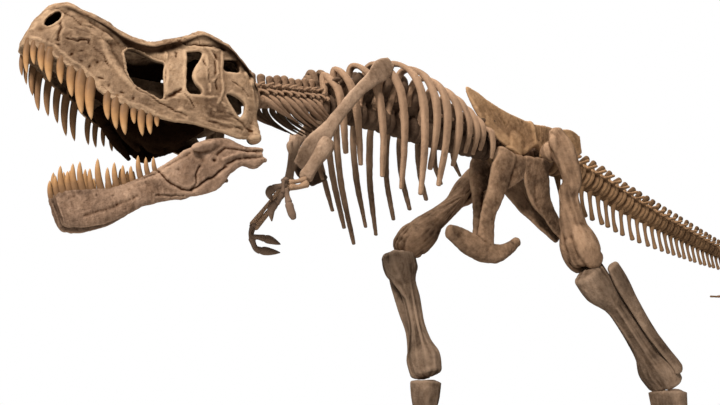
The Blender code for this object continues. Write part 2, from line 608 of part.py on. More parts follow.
def make_bone(name, line, widths, depths):
    limb(Shape(), curve(line, len(widths)), widths, depths, 6, (0, 1, 0)).make(name, "bone")


def make_hand(name, palm, fingers):
    """A short palm and clawed fingers that grow from its end."""
    shape = limb(Shape(), palm, (0.026, 0.032, 0.03), (0.022, 0.024, 0.022), 6, (0, 1, 0))
    made = shape.make("hand_" + name, "bone")
    for number, finger in enumerate(fingers):
        shape = limb(Shape(), curve(finger, 5), (0.017, 0.021, 0.016, 0.019, 0.004),
                     (0.017, 0.021, 0.016, 0.019, 0.004), 5, (0, 1, 0))
        boolean(made, shape.helper("finger_%d_%s" % (number + 1, name)), "UNION")


def make_arms():
    humerus = (0.04, 0.062, 0.056, 0.05, 0.048, 0.048)
    humerus_depth = (0.03, 0.048, 0.042, 0.036, 0.036, 0.036)
    make_shoulder("left", [(-1.92, -0.46, 3.345), (-2.02, -0.50, 3.25), (-2.23, -0.53, 3.02),
                           (-2.41, -0.53, 2.79), (-2.52, -0.51, 2.60), (-2.60, -0.48, 2.46),
                           (-2.66, -0.45, 2.35)])
    make_bone("humerus_left", [(-2.56, -0.575, 2.50), (-2.59, -0.58, 2.44), (-2.655, -0.585, 2.32),
                               (-2.72, -0.585, 2.21)], humerus, humerus_depth)
    make_bone("forearm_left", [(-2.74, -0.585, 2.155), (-2.79, -0.57, 2.13), (-2.84, -0.56, 2.12)],
              (0.036, 0.034, 0.032, 0.034), (0.03, 0.026, 0.025, 0.027))
    make_hand("left", [(-2.885, -0.56, 2.135), (-2.885, -0.56, 2.095), (-2.885, -0.56, 2.06)],
              [[(-2.88, -0.55, 2.11), (-2.94, -0.54, 2.09), (-2.98, -0.53, 2.05), (-2.955, -0.52, 2.00)],
               [(-2.88, -0.55, 2.07), (-2.92, -0.54, 2.00), (-2.96, -0.53, 1.94), (-2.95, -0.52, 1.86)],
               [(-2.875, -0.56, 2.075), (-2.86, -0.57, 2.01), (-2.845, -0.58, 1.94), (-2.82, -0.58, 1.885)]])
    make_shoulder("right", [(-1.90, 0.46, 3.31), (-2.04, 0.47, 3.17), (-2.22, 0.42, 2.97),
                            (-2.36, 0.32, 2.80), (-2.43, 0.22, 2.66), (-2.42, 0.12, 2.52),
                            (-2.38, 0.06, 2.42)])
    make_bone("humerus_right", [(-2.525, 0.03, 2.74), (-2.54, 0.0, 2.65), (-2.57, -0.03, 2.48),
                                (-2.60, -0.05, 2.33)], (0.03, 0.045, 0.036, 0.03, 0.03, 0.034),
              (0.026, 0.036, 0.03, 0.026, 0.026, 0.028))
    make_bone("forearm_right", [(-2.62, -0.065, 2.285), (-2.72, -0.11, 2.16), (-2.85, -0.17, 2.01),
                                (-2.935, -0.20, 1.90)], (0.036, 0.028, 0.026, 0.03),
              (0.03, 0.022, 0.022, 0.026))
    make_hand("right", [(-2.945, -0.205, 1.885), (-2.955, -0.205, 1.84), (-2.945, -0.205, 1.795)],
              [[(-2.955, -0.205, 1.81), (-2.905, -0.22, 1.815), (-2.84, -0.25, 1.80), (-2.765, -0.28, 1.77)],
               [(-2.95, -0.205, 1.80), (-2.91, -0.20, 1.735), (-2.84, -0.23, 1.72), (-2.755, -0.26, 1.715)]])


def make_base():
    shape = Shape()
    half_x, half_y = BASE_LENGTH / 2, BASE_WIDTH / 2
    rings = []
    for z, inset in ((0.0, 0.0), (BASE_HEIGHT - BASE_CHAMFER, 0.0), (BASE_HEIGHT, BASE_CHAMFER)):
        x, y = half_x - inset, half_y - inset
        rings.append([np.array(p) for p in ((-x, -y, z), (x, -y, z), (x, y, z), (-x, y, z))])
    shape.rings(rings).make("stand_base", "base")


def main():
    for old in list(bpy.data.objects):
        bpy.data.objects.remove(old, do_unlink=True)
    make_cranium()
    make_jaw("mandible_left", 1)
    make_jaw("mandible_right", -1)
    make_neck()
    make_ribs("ribcage_left", LEFT, RIBS_LEFT)
    make_ribs("ribcage_right", RIGHT, RIBS_RIGHT)
    make_pelvis()
    make_tail()
    make_arms()
    for name, way, hip, knee, ankle, foot in (
            ("left", LEFT, HIP_LEFT, KNEE_LEFT, ANKLE_LEFT, FOOT_LEFT),
            ("right", RIGHT, HIP_RIGHT, KNEE_RIGHT, ANKLE_RIGHT, FOOT_RIGHT)):
        make_thigh(name, way, hip, knee)
        make_shin(name, way, knee, ankle)
        make_foot(name, way, ankle, foot)
    make_base()


main()
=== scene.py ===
import math

import bpy
import numpy as np
from mathutils import Matrix, Vector


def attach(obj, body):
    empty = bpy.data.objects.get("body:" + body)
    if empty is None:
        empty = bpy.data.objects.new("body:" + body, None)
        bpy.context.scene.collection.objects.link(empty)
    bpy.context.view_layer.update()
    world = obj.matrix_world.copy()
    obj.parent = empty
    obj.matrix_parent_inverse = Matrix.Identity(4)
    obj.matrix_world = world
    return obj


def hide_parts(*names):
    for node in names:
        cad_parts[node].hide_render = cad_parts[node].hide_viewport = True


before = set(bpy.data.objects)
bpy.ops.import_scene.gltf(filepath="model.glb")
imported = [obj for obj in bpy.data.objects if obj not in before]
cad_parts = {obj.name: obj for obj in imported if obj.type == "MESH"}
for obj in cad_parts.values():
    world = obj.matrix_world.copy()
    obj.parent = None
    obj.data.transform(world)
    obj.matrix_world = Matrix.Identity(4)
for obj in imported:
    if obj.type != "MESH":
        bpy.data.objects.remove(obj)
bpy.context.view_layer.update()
print("frame loaded:", len(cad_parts), "nodes")


def smoothPath(points, count):
    # a Catmull-Rom curve through the points, read at places evenly spread along its length
    p = np.asarray(points, float)
    p = np.vstack([2 * p[0] - p[1], p, 2 * p[-1] - p[-2]])
    t = np.linspace(0, 1, 24, endpoint=False)[:, None, None]
    a, b, c, d = p[:-3], p[1:-2], p[2:-1], p[3:]
    dense = 0.5 * (2 * b + (c - a) * t + (2 * a - 5 * b + 4 * c - d) * t ** 2
                   + (3 * b - a - 3 * c + d) * t ** 3)
    dense = np.vstack([dense.transpose(1, 0, 2).reshape(-1, p.shape[1]), p[-2:-1]])
    run = np.concatenate([[0], np.cumsum(np.linalg.norm(np.diff(dense, axis=0), axis=1))])
    want = np.linspace(0, run[-1], count)
    return np.column_stack([np.interp(want, run, dense[:, k]) for k in range(p.shape[1])])


def easeRead(values, share):
    # values stand at even steps from 0 to 1; read between them along a Catmull-Rom curve
    v = np.asarray(values, float)
    if len(v) == 1:
        return np.full(np.shape(share), v[0])
    v = np.concatenate([[2 * v[0] - v[1]], v, [2 * v[-1] - v[-2]]])
    t = np.asarray(share, float) * (len(v) - 3)
    i = np.clip(np.floor(t).astype(int), 0, len(v) - 4)
    t = t - i
    a, b, c, d = v[i], v[i + 1], v[i + 2], v[i + 3]
    return 0.5 * (2 * b + (c - a) * t + (2 * a - 5 * b + 4 * c - d) * t ** 2 + (3 * b - a - 3 * c + d) * t ** 3)


def readPairs(pairs, x):
    # (place, value) pairs joined by Hermite curves whose slopes are those of the table itself
    p = np.asarray(sorted(pairs), float)
    slope = np.gradient(p[:, 1], p[:, 0])
    i = np.clip(np.searchsorted(p[:, 0], x) - 1, 0, len(p) - 2)
    h = p[i + 1, 0] - p[i, 0]
    t = np.clip((np.asarray(x) - p[i, 0]) / h, 0, 1)
    return ((2 * t ** 3 - 3 * t ** 2 + 1) * p[i, 1] + (t ** 3 - 2 * t ** 2 + t) * h * slope[i]
            + (3 * t ** 2 - 2 * t ** 3) * p[i + 1, 1] + (t ** 3 - t ** 2) * h * slope[i + 1])


def unit(v):
    v = np.asarray(v, float)
    return v / np.linalg.norm(v, axis=-1, keepdims=True)


def pathFrames(line, up):
    ahead = unit(np.gradient(line, axis=0))
    side = unit(np.cross(ahead, np.asarray(up, float)))
    return ahead, side, np.cross(side, ahead)


def outward(part):
    # turns the faces of a closed part round where they point inwards
    p, q, t = part
    volume = 0.0
    for k in range(q.shape[1] - 2):
        volume += (p[q[:, 0]] * np.cross(p[q[:, k + 1]], p[q[:, k + 2]])).sum()
    volume += (p[t[:, 0]] * np.cross(p[t[:, 1]], p[t[:, 2]])).sum()
    return part if volume > 0 else (p, q[:, ::-1], t[:, ::-1])


def closedGrid(rings):
    # rings (rows, columns, 3) joined in turn, with a pole point at each end; all faces look outwards
    rows, cols = rings.shape[:2]
    points = np.vstack([rings.reshape(-1, 3), rings[0].mean(0), rings[-1].mean(0)])
    r, c = np.meshgrid(np.arange(rows - 1), np.arange(cols), indexing="ij")
    n = (c + 1) % cols
    quads = np.stack([r * cols + c, r * cols + n, (r + 1) * cols + n, (r + 1) * cols + c], -1).reshape(-1, 4)
    i = np.arange(cols)
    j = (i + 1) % cols
    first = np.stack([j, i, np.full(cols, rows * cols)], -1)
    last = (rows - 1) * cols
    end = np.stack([last + i, last + j, np.full(cols, rows * cols + 1)], -1)
    return outward((points, quads, np.vstack([first, end])))


def ovalRound(angle, square, upright=None):
    # x and y of |x|^square + |y|^upright = 1 at each angle
    x, y = np.cos(angle), np.sin(angle)
    return np.sign(x) * np.abs(x) ** (2 / square), np.sign(y) * np.abs(y) ** (2 / (upright or square))


def tube(path, wide, deep=None, around=18, along=30, up=(0, 0, 1), square=2.0, blunt=0.7, turn=0.0):
    # an oval |x/wide|^square + |y/deep|^square = 1 carried along a path, with rounded ends
    line = smoothPath(path, along)
    ahead, side, over = pathFrames(line, up)
    share = np.linspace(0, 1, along)
    deep = wide if deep is None else deep
    w, d = np.maximum(easeRead(wide, share), 0.001), np.maximum(easeRead(deep, share), 0.001)
    x, y = ovalRound(np.arange(around) * 2 * math.pi / around + turn, square)
    rings = (line[:, None] + (w[:, None] * x)[..., None] * side[:, None]
             + (d[:, None] * y)[..., None] * over[:, None])
    caps = []
    for end, way in ((0, -1), (-1, 1)):
        swing = np.radians([25, 50, 72])[:, None, None]
        reach = blunt * min(w[end], d[end])
        cap = line[end] + np.cos(swing) * (rings[end] - line[end]) + way * reach * np.sin(swing) * ahead[end]
        caps.append(cap[::-1] if way < 0 else cap)
    return closedGrid(np.concatenate([caps[0], rings, caps[1]]))


def lump(centre, radii, ahead=(1, 0, 0), side=(0, 1, 0), around=18, along=12):
    # an ellipsoid: a circle whose size follows the sine of the way along the axis
    ahead = unit(ahead)
    side = unit(np.asarray(side, float) - np.dot(side, ahead) * ahead)
    over = np.cross(ahead, side)
    swing = np.linspace(0, math.pi, along + 2)[1:-1, None, None]
    angle = (np.arange(around) * 2 * math.pi / around)[None, :, None]
    rings = (np.asarray(centre, float) - radii[0] * np.cos(swing) * ahead
             + np.sin(swing) * (radii[1] * np.cos(angle) * side + radii[2] * np.sin(angle) * over))
    return closedGrid(rings)


def joined(parts):
    points, quads, tris, start = [], [], [], 0
    for p, q, t in parts:
        points.append(p)
        quads.append(q + start)
        tris.append(t + start)
        start += len(p)
    return np.vstack(points), np.vstack(quads), np.vstack(tris)


def moved(part, origin, axes):
    # axes are the rows that the part's own x, y, z become; a mirror image has its faces turned round
    turn = 1 if np.linalg.det(np.asarray(axes)) > 0 else -1
    return np.asarray(origin) + part[0] @ np.asarray(axes), part[1][:, ::turn], part[2][:, ::turn]


def plainMesh(name, part):
    points, quads, tris = part
    mesh = bpy.data.meshes.new(name)
    mesh.vertices.add(len(points))
    mesh.vertices.foreach_set("co", points.astype(np.float32).ravel())
    mesh.loops.add(quads.size + tris.size)
    mesh.loops.foreach_set("vertex_index", np.concatenate([quads.ravel(), tris.ravel()]).astype(np.int32))
    mesh.polygons.add(len(quads) + len(tris))
    starts = np.concatenate([np.arange(len(quads)) * 4, quads.size + np.arange(len(tris)) * 3])
    mesh.polygons.foreach_set("loop_start", starts.astype(np.int32))
    mesh.update(calc_edges=True)
    mesh.validate()
    return mesh


def meshArrays(mesh):
    points = np.zeros(len(mesh.vertices) * 3, np.float32)
    mesh.vertices.foreach_get("co", points)
    corners = np.zeros(len(mesh.loops), np.int32)
    mesh.loops.foreach_get("vertex_index", corners)
    starts = np.zeros(len(mesh.polygons), np.int32)
    mesh.polygons.foreach_get("loop_start", starts)
    totals = np.diff(np.append(starts, len(corners)))
    quads = corners[starts[totals == 4][:, None] + np.arange(4)]
    tris = corners[starts[totals == 3][:, None] + np.arange(3)]
    return points.reshape(-1, 3).astype(float), quads, tris


def evaluated(made):
    made.update_tag()
    bpy.context.view_layer.update()
    mesh = bpy.data.meshes.new_from_object(made.evaluated_get(bpy.context.evaluated_depsgraph_get()))
    bpy.data.objects.remove(made)
    return mesh


def looseObject(name, part):
    made = bpy.data.objects.new(name, plainMesh(name, part))
    bpy.context.scene.collection.objects.link(made)
    return made


def edgesOf(part):
    q, t = part[1], part[2]
    pairs = np.vstack([q[:, [0, 1]], q[:, [1, 2]], q[:, [2, 3]], q[:, [3, 0]],
                       t[:, [0, 1]], t[:, [1, 2]], t[:, [2, 0]]])
    return np.unique(np.sort(pairs, axis=1), axis=0)


def neighbourMean(points, edges):
    a, b = edges[:, 0], edges[:, 1]
    count = np.maximum(np.bincount(edges.ravel(), minlength=len(points)), 1)
    return np.column_stack([np.bincount(a, points[b, k], len(points)) + np.bincount(b, points[a, k], len(points))
                            for k in range(3)]) / count[:, None]


def relaxed(points, edges, steps, pull=0.55):
    # each point goes part of the way to the mean of its neighbours, and a little more than that back in turn
    for step in range(steps):
        points = points + (pull if step % 2 == 0 else -pull * 1.04) * (neighbourMean(points, edges) - points)
    return points


def normalsOf(part):
    p, q, t = part
    cross = np.vstack([np.cross(p[q[:, 2]] - p[q[:, 0]], p[q[:, 3]] - p[q[:, 1]]),
                       np.cross(p[t[:, 1]] - p[t[:, 0]], p[t[:, 2]] - p[t[:, 0]])])
    ends = [q[:, k] for k in range(4)] + [t[:, k] for k in range(3)]
    faces = [cross[:len(q)]] * 4 + [cross[len(q):]] * 3
    total = np.column_stack([np.bincount(np.concatenate(ends), np.concatenate([f[:, k] for f in faces]), len(p))
                             for k in range(3)])
    return total / np.maximum(np.linalg.norm(total, axis=1), 1e-12)[:, None]


def withoutCrumbs(part, least=400):
    # every point takes the lowest number among its neighbours until each island has one; small islands go
    points, quads, tris = part
    edges = edgesOf(part)
    label = np.arange(len(points))
    while True:
        low = label.copy()
        np.minimum.at(low, edges.ravel(), np.repeat(label[edges].min(1), 2))
        low = low[low]
        if (low == label).all():
            break
        label = low
    keep = np.bincount(label, minlength=len(points))[label] >= least
    place = np.cumsum(keep) - 1
    return points[keep], place[quads[keep[quads[:, 0]]]], place[tris[keep[tris[:, 0]]]]


def fused(parts, cell, steps=4):
    # overlapping closed shapes become one skin of square cells, then the steps of the cells are eased away
    made = looseObject("fusing", joined(parts))
    skin = made.modifiers.new("skin", "REMESH")
    skin.mode = "VOXEL"
    skin.voxel_size = cell
    mesh = evaluated(made)
    part = withoutCrumbs(meshArrays(mesh))
    bpy.data.meshes.remove(mesh)
    return relaxed(part[0], edgesOf(part), steps), part[1], part[2]


def latticeNoise(points, size, seed):
    # random values on a lattice, blended smoothly between its corners; about -1 to 1
    q = points / size
    low = np.floor(q).astype(np.int64)
    f = q - low
    f = f * f * (3 - 2 * f)
    total = np.zeros(len(points))
    for dx in (0, 1):
        for dy in (0, 1):
            for dz in (0, 1):
                h = ((low[:, 0] + dx) * 73856093) ^ ((low[:, 1] + dy) * 19349663) ^ ((low[:, 2] + dz) * 83492791)
                h = (h ^ (seed * 2654435761)) & 0x7FFFFFFF
                h = ((h ^ (h >> 13)) * 1274126177) & 0x7FFFFFFF
                h = (h ^ (h >> 16)) & 0xFFFF
                weight = ((f[:, 0] if dx else 1 - f[:, 0]) * (f[:, 1] if dy else 1 - f[:, 1])
                          * (f[:, 2] if dz else 1 - f[:, 2]))
                total += weight * (h / 32767.5 - 1)
    return total


def layeredNoise(points, size, seed, layers=3):
    total = np.zeros(len(points))
    for k in range(layers):
        total += latticeNoise(points, size / 2.1 ** k, seed + 17 * k) / 1.9 ** k
    return total


def legDistance(flat, a, b):
    leg = b - a
    t = np.clip(((flat - a) @ leg) / (leg @ leg), 0, 1)
    return np.linalg.norm(flat - (a + t[:, None] * leg), axis=1)


def alongPath(flat, path, width):
    # 1 on the line through the path, falling as a bell curve with the distance from it; any number of axes
    path = np.asarray(path, float)
    near = np.full(len(flat), 1e9)
    for a, b in zip(path[:-1], path[1:]):
        near = np.minimum(near, legDistance(flat, a, b))
    return np.exp(-(near / width) ** 2)


def grained(points, axis, stretch):
    # the same points squeezed along an axis, so that noise read there runs in streaks along it
    axis = unit(axis)
    return points - (1 - 1 / stretch) * (points @ axis)[:, None] * axis


pieceCount = [0]


def showPiece(name, part, nodes, material, extra=None):
    edges = edgesOf(part)
    normals = normalsOf(part)
    # the "hollow" value below drives painted shade in the hollows and a painted highlight on raised parts in the bone
    # finishes
    hollow = np.zeros(len(part[0]))
    soft = part[0]
    for steps, gain in ((3, 260.0), (12, 110.0)):     # how far the skin lies under its own neighbourhood
        for _ in range(steps):
            soft = neighbourMean(soft, edges)
        hollow += gain * ((soft - part[0]) * normals).sum(1)
    mesh = plainMesh(name, part)
    layer = mesh.attributes.new("hollow", "FLOAT", "POINT")
    layer.data.foreach_set("value", np.clip(hollow, -2, 2).astype(np.float32))
    if extra is not None:
        layer = mesh.attributes.new("shade", "FLOAT", "POINT")
        layer.data.foreach_set("value", np.asarray(extra, np.float32))
    mesh.shade_smooth()
    mesh.materials.append(material)
    made = bpy.data.objects.new(name, mesh)
    bpy.context.scene.collection.objects.link(made)
    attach(made, "root")
    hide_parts(*nodes)
    pieceCount[0] += len(part[1]) * 2 + len(part[2])
    print("piece", name, len(part[1]) * 2 + len(part[2]), "triangles")
    return made


def pushed(part, push):
    return part[0] + push[:, None] * normalsOf(part), part[1], part[2]


def roughened(part, coarse, fine, seed, axis=None, stretch=5.0):
    # the skin goes in and out along its normals by layered noise, in streaks where an axis is given
    read = part[0] if axis is None else grained(part[0], axis, stretch)
    return pushed(part, coarse * layeredNoise(read, 0.16, seed) + fine * layeredNoise(read, 0.045, seed + 5))


def newMaterial(name):
    made = bpy.data.materials.new(name)
    made.use_nodes = True
    return made, made.node_tree.nodes, made.node_tree.links, made.node_tree.nodes["Principled BSDF"]


def boneFinish(name, light, middle, dark, crack=0.35, reach=1.1, shaded=False, relief=0.016):
    # blotches of three tones, thin streaks, painted shade in the hollows and a painted highlight on raised parts, pits
    # and cracks
    made, nodes, links, shader = newMaterial(name)
    where = nodes.new("ShaderNodeTexCoord").outputs["Object"]

    def noise(scale, detail, rough=0.6, source=where):
        made = nodes.new("ShaderNodeTexNoise")
        made.inputs["Scale"].default_value = scale
        made.inputs["Detail"].default_value = detail
        made.inputs["Roughness"].default_value = rough
        links.new(source, made.inputs["Vector"])
        return made.outputs["Fac"]

    def ramp(source, stops):
        made = nodes.new("ShaderNodeValToRGB")
        line = made.color_ramp
        while len(line.elements) < len(stops):
            line.elements.new(0.5)
        for element, (place, colour) in zip(line.elements, stops):
            element.position = place
            element.color = (*colour, 1) if len(colour) == 3 else colour
        links.new(source, made.inputs["Fac"])
        return made.outputs["Color"]

    def mix(kind, amount, a, b):
        made = nodes.new("ShaderNodeMix")
        made.data_type = "RGBA"
        made.blend_type = kind
        if isinstance(amount, float):
            made.inputs[0].default_value = amount
        else:
            links.new(amount, made.inputs[0])
        for socket, value in ((made.inputs[6], a), (made.inputs[7], b)):
            if isinstance(value, tuple):
                socket.default_value = (*value, 1)
            else:
                links.new(value, socket)
        return made.outputs[2]

    def spread(source, low, high, to=(0, 1)):
        made = nodes.new("ShaderNodeMapRange")
        made.inputs["From Min"].default_value = low
        made.inputs["From Max"].default_value = high
        made.inputs["To Min"].default_value = to[0]
        made.inputs["To Max"].default_value = to[1]
        links.new(source, made.inputs["Value"])
        return made.outputs["Result"]

    def calc(kind, a, b):
        made = nodes.new("ShaderNodeMath")
        made.operation = kind
        for socket, value in zip(made.inputs, (a, b)):
            if isinstance(value, (int, float)):
                socket.default_value = value
            else:
                links.new(value, socket)
        return made.outputs[0]

    blotch = noise(3.2, 5)
    colour = ramp(blotch, [(0.36, dark), (0.50, middle), (0.64, light)])
    streak = noise(14, 6, 0.75)
    colour = mix("MULTIPLY", spread(streak, 0.42, 0.68, (0, 0.75)), colour, tuple(0.62 * c for c in (1, 0.9, 0.8)))
    speck = noise(90, 3, 0.7)
    colour = mix("MULTIPLY", spread(speck, 0.5, 0.8, (0, 0.6)), colour, (0.5, 0.42, 0.36))
    hollow = nodes.new("ShaderNodeAttribute")
    hollow.attribute_name = "hollow"
    # painted shade: the colour goes darker where the "hollow" value says the skin lies sunken
    deep = spread(hollow.outputs["Fac"], 0.04, reach)
    colour = mix("MULTIPLY", deep, colour, (0.20, 0.13, 0.09))
    # painted highlight: the colour goes towards a lighter tone where the skin stands out
    paintedRidgeHighlight = spread(hollow.outputs["Fac"], -0.1, -1.2, (0, 0.5))
    colour = mix("MIX", paintedRidgeHighlight, colour, tuple(min(1, 1.3 * c) for c in light))
    if shaded:
        shade = nodes.new("ShaderNodeAttribute")
        shade.attribute_name = "shade"
        colour = mix("MULTIPLY", shade.outputs["Fac"], colour, (0.03, 0.019, 0.014))
    bent = nodes.new("ShaderNodeVectorMath")
    bent.operation = "MULTIPLY_ADD"
    wobble = nodes.new("ShaderNodeTexNoise")
    wobble.inputs["Scale"].default_value = 9
    wobble.inputs["Detail"].default_value = 4
    links.new(where, wobble.inputs["Vector"])
    links.new(wobble.outputs["Color"], bent.inputs[0])
    bent.inputs[1].default_value = (0.16, 0.16, 0.16)
    links.new(where, bent.inputs[2])
    cell = nodes.new("ShaderNodeTexVoronoi")
    cell.feature = "DISTANCE_TO_EDGE"
    cell.inputs["Scale"].default_value = 4.5
    links.new(bent.outputs["Vector"], cell.inputs["Vector"])
    line = spread(cell.outputs["Distance"], 0.0, 0.014, (1, 0))
    some = spread(noise(5.0, 2), 0.55, 0.66)
    cracked = calc("MULTIPLY", line, some)
    colour = mix("MULTIPLY", calc("MULTIPLY", cracked, crack * 1.6), colour, (0.30, 0.21, 0.15))
    links.new(colour, shader.inputs["Base Color"])
    links.new(spread(noise(35, 3), 0.3, 0.7, (0.55, 0.82)), shader.inputs["Roughness"])
    shader.inputs["Specular IOR Level"].default_value = 0.0

    height = calc("MULTIPLY", noise(26, 6, 0.65), 0.9)
    height = calc("ADD", height, calc("MULTIPLY", noise(90, 6, 0.7), 0.6))
    height = calc("SUBTRACT", height, calc("MULTIPLY", cracked, crack))
    bump = nodes.new("ShaderNodeBump")
    bump.inputs["Strength"].default_value = 0.9
    bump.inputs["Distance"].default_value = relief
    links.new(height, bump.inputs["Height"])
    links.new(bump.outputs["Normal"], shader.inputs["Normal"])
    return made


def toothFinish():
    # amber enamel: dark brown at the root, partly as painted shadow under the lip, warm orange-tan along the crown,
    # paler at the tip; lower values on the far-side teeth give them painted shade
    made, nodes, links, shader = newMaterial("toothEnamel")
    along = nodes.new("ShaderNodeAttribute")
    along.attribute_name = "shade"
    ramp = nodes.new("ShaderNodeValToRGB")
    line = ramp.color_ramp
    line.elements.new(0.5)
    line.elements.new(0.5)
    for element, (place, colour) in zip(line.elements, (
            (0.0, (0.14, 0.076, 0.038)), (0.25, (0.19, 0.102, 0.05)), (0.6, (0.33, 0.175, 0.075)),
            (1.0, (0.46, 0.27, 0.13)))):
        element.position = place
        element.color = (*colour, 1)
    noise = nodes.new("ShaderNodeTexNoise")
    noise.inputs["Scale"].default_value = 30
    noise.inputs["Detail"].default_value = 5
    where = nodes.new("ShaderNodeTexCoord")
    links.new(where.outputs["Object"], noise.inputs["Vector"])
    shift = nodes.new("ShaderNodeMath")
    shift.operation = "MULTIPLY_ADD"
    shift.inputs[1].default_value = 0.5
    links.new(noise.outputs["Fac"], shift.inputs[0])
    lower = nodes.new("ShaderNodeMath")
    lower.operation = "SUBTRACT"
    lower.inputs[1].default_value = 0.25
    links.new(along.outputs["Fac"], lower.inputs[0])
    links.new(lower.outputs[0], shift.inputs[2])
    links.new(shift.outputs[0], ramp.inputs["Fac"])
    links.new(ramp.outputs["Color"], shader.inputs["Base Color"])
    shader.inputs["Roughness"].default_value = 0.5
    shader.inputs["Specular IOR Level"].default_value = 0.06
    bump = nodes.new("ShaderNodeBump")
    bump.inputs["Strength"].default_value = 0.35
    bump.inputs["Distance"].default_value = 0.004
    links.new(noise.outputs["Fac"], bump.inputs["Height"])
    links.new(bump.outputs["Normal"], shader.inputs["Normal"])
    return made


finish = {
    "skull": boneFinish("skullBone", (0.43, 0.287, 0.178), (0.275, 0.176, 0.108),
                        (0.145, 0.089, 0.055), 0.3, 1.4, True),
    "jaw": boneFinish("jawBone", (0.36, 0.234, 0.158), (0.235, 0.147, 0.098),
                        (0.125, 0.077, 0.052), 0.25, 1.4, True),
    "pale": boneFinish("paleBone", (0.43, 0.262, 0.142), (0.33, 0.195, 0.103),
                        (0.205, 0.118, 0.065), 0.2, 1.3),
    "grey": boneFinish("greyBone", (0.37, 0.25, 0.17), (0.27, 0.178, 0.118),
                        (0.16, 0.102, 0.067), 0.15, 1.6, True),
    "body": boneFinish("bodyBone", (0.35, 0.22, 0.136), (0.20, 0.122, 0.075),
                        (0.082, 0.049, 0.031), 0.15, 1.3),
    "spine": boneFinish("spineBone", (0.26, 0.162, 0.102), (0.18, 0.110, 0.070),
                        (0.105, 0.064, 0.042), 0.1, 1.3, True),
    # a much darker copy of the bone tones for the trunk vertebrae: painted shade inside the rib cage
    "shadedTrunk": boneFinish("paintedShadeTrunkBone", (0.115, 0.073, 0.048), (0.076, 0.047, 0.031),
                        (0.042, 0.026, 0.018), 0.1, 1.9),
    "tail": boneFinish("tailBone", (0.31, 0.181, 0.095), (0.22, 0.125, 0.066),
                        (0.13, 0.073, 0.041), 0.1, 2.2, True),
    "rib": boneFinish("ribBone", (0.36, 0.226, 0.142), (0.24, 0.147, 0.092),
                        (0.11, 0.067, 0.043), 0.1, 2.0),
    # a darker copy of the rib tones for the far-side ribs: painted shade
    "dim": boneFinish("paintedShadeRibBone", (0.22, 0.138, 0.086), (0.15, 0.092, 0.058),
                        (0.085, 0.052, 0.034), 0.1, 2.0),
    "shin": boneFinish("shinBone", (0.30, 0.205, 0.14), (0.175, 0.117, 0.079),
                        (0.078, 0.051, 0.034), 0.15, 1.5),
    "hand": boneFinish("handBone", (0.15, 0.098, 0.068), (0.10, 0.065, 0.046), (0.058, 0.038, 0.028), 0.05, 2.5, False,
                       0.004),
    "teeth": toothFinish(),
}
print("finishes ready")


column = {
    "line": [(-3.105, -0.457, 2.725), (-3.0, -0.43, 2.765), (-2.8, -0.38, 2.82), (-2.5, -0.29, 2.91),
             (-2.25, -0.185, 2.985), (-1.95, -0.09, 3.04), (-1.6, -0.02, 3.07), (-1.2, 0.0, 3.06),
             (-0.8, 0.0, 3.06), (-0.45, 0.0, 3.07), (-0.1, 0.0, 3.09), (0.42, 0.0, 3.08),
             (0.75, 0.0, 3.06), (1.04, 0.0, 2.996), (1.32, 0.0, 2.93), (1.655, 0.0, 2.83),
             (2.1, 0.0, 2.732), (2.655, 0.05, 2.66), (3.286, 0.12, 2.59), (3.83, 0.20, 2.55),
             (4.5, 0.29, 2.51), (5.15, 0.40, 2.46), (5.7, 0.60, 2.39), (6.0, 0.90, 2.32),
             (5.95, 1.18, 2.27), (5.78, 1.32, 2.245), (5.62, 1.385, 2.24)],
    "trunkStart": -2.5, "sacrumStart": -0.45, "tailStart": 0.42,
    "tailRadius": (0.105, 0.10, 0.085, 0.06, 0.035, 0.012), "tailBones": 48,
    "lastSpine": 0.72, "lastChevron": 0.86, "neckBones": 9,
}
columnLine = smoothPath(column["line"], 900)
columnRun = np.linspace(0, np.linalg.norm(np.diff(columnLine, axis=0), axis=1).sum(), 900)
columnAxes = pathFrames(columnLine, (0, 0, 1))


def columnAt(distance):
    # centre, direction to the tail, side and up, for one distance or an array of them
    return [np.stack([np.interp(distance, columnRun, field[:, k]) for k in range(3)], -1)
            for field in (columnLine, *columnAxes)]


def distanceAt(x):
    reach = int(np.argmax(columnLine[:, 0]))
    return np.interp(x, columnLine[:reach, 0], columnRun[:reach])


def copiesAlong(template, distances, local):
    # local holds the template's points for each copy: x runs along the column, y to the side, z up;
    # those three directions are a mirror image of x, y, z, so the faces are turned round
    points, quads, tris = template
    c, a, s, u = columnAt(np.asarray(distances))
    placed = (c[:, None] + local[..., 0:1] * a[:, None] + local[..., 1:2] * s[:, None]
              + local[..., 2:3] * u[:, None])
    step = np.arange(len(c))[:, None, None] * len(points)
    return (placed.reshape(-1, 3), (quads[None, :, ::-1] + step).reshape(-1, 4),
            (tris[None, :, ::-1] + step).reshape(-1, 3))


def mirrored(parts):
    # each part again on the other side of y = 0, with its faces turned round
    back = [(p * (1, -1, 1), q[:, ::-1], t[:, ::-1]) for p, q, t in parts]
    return parts + back


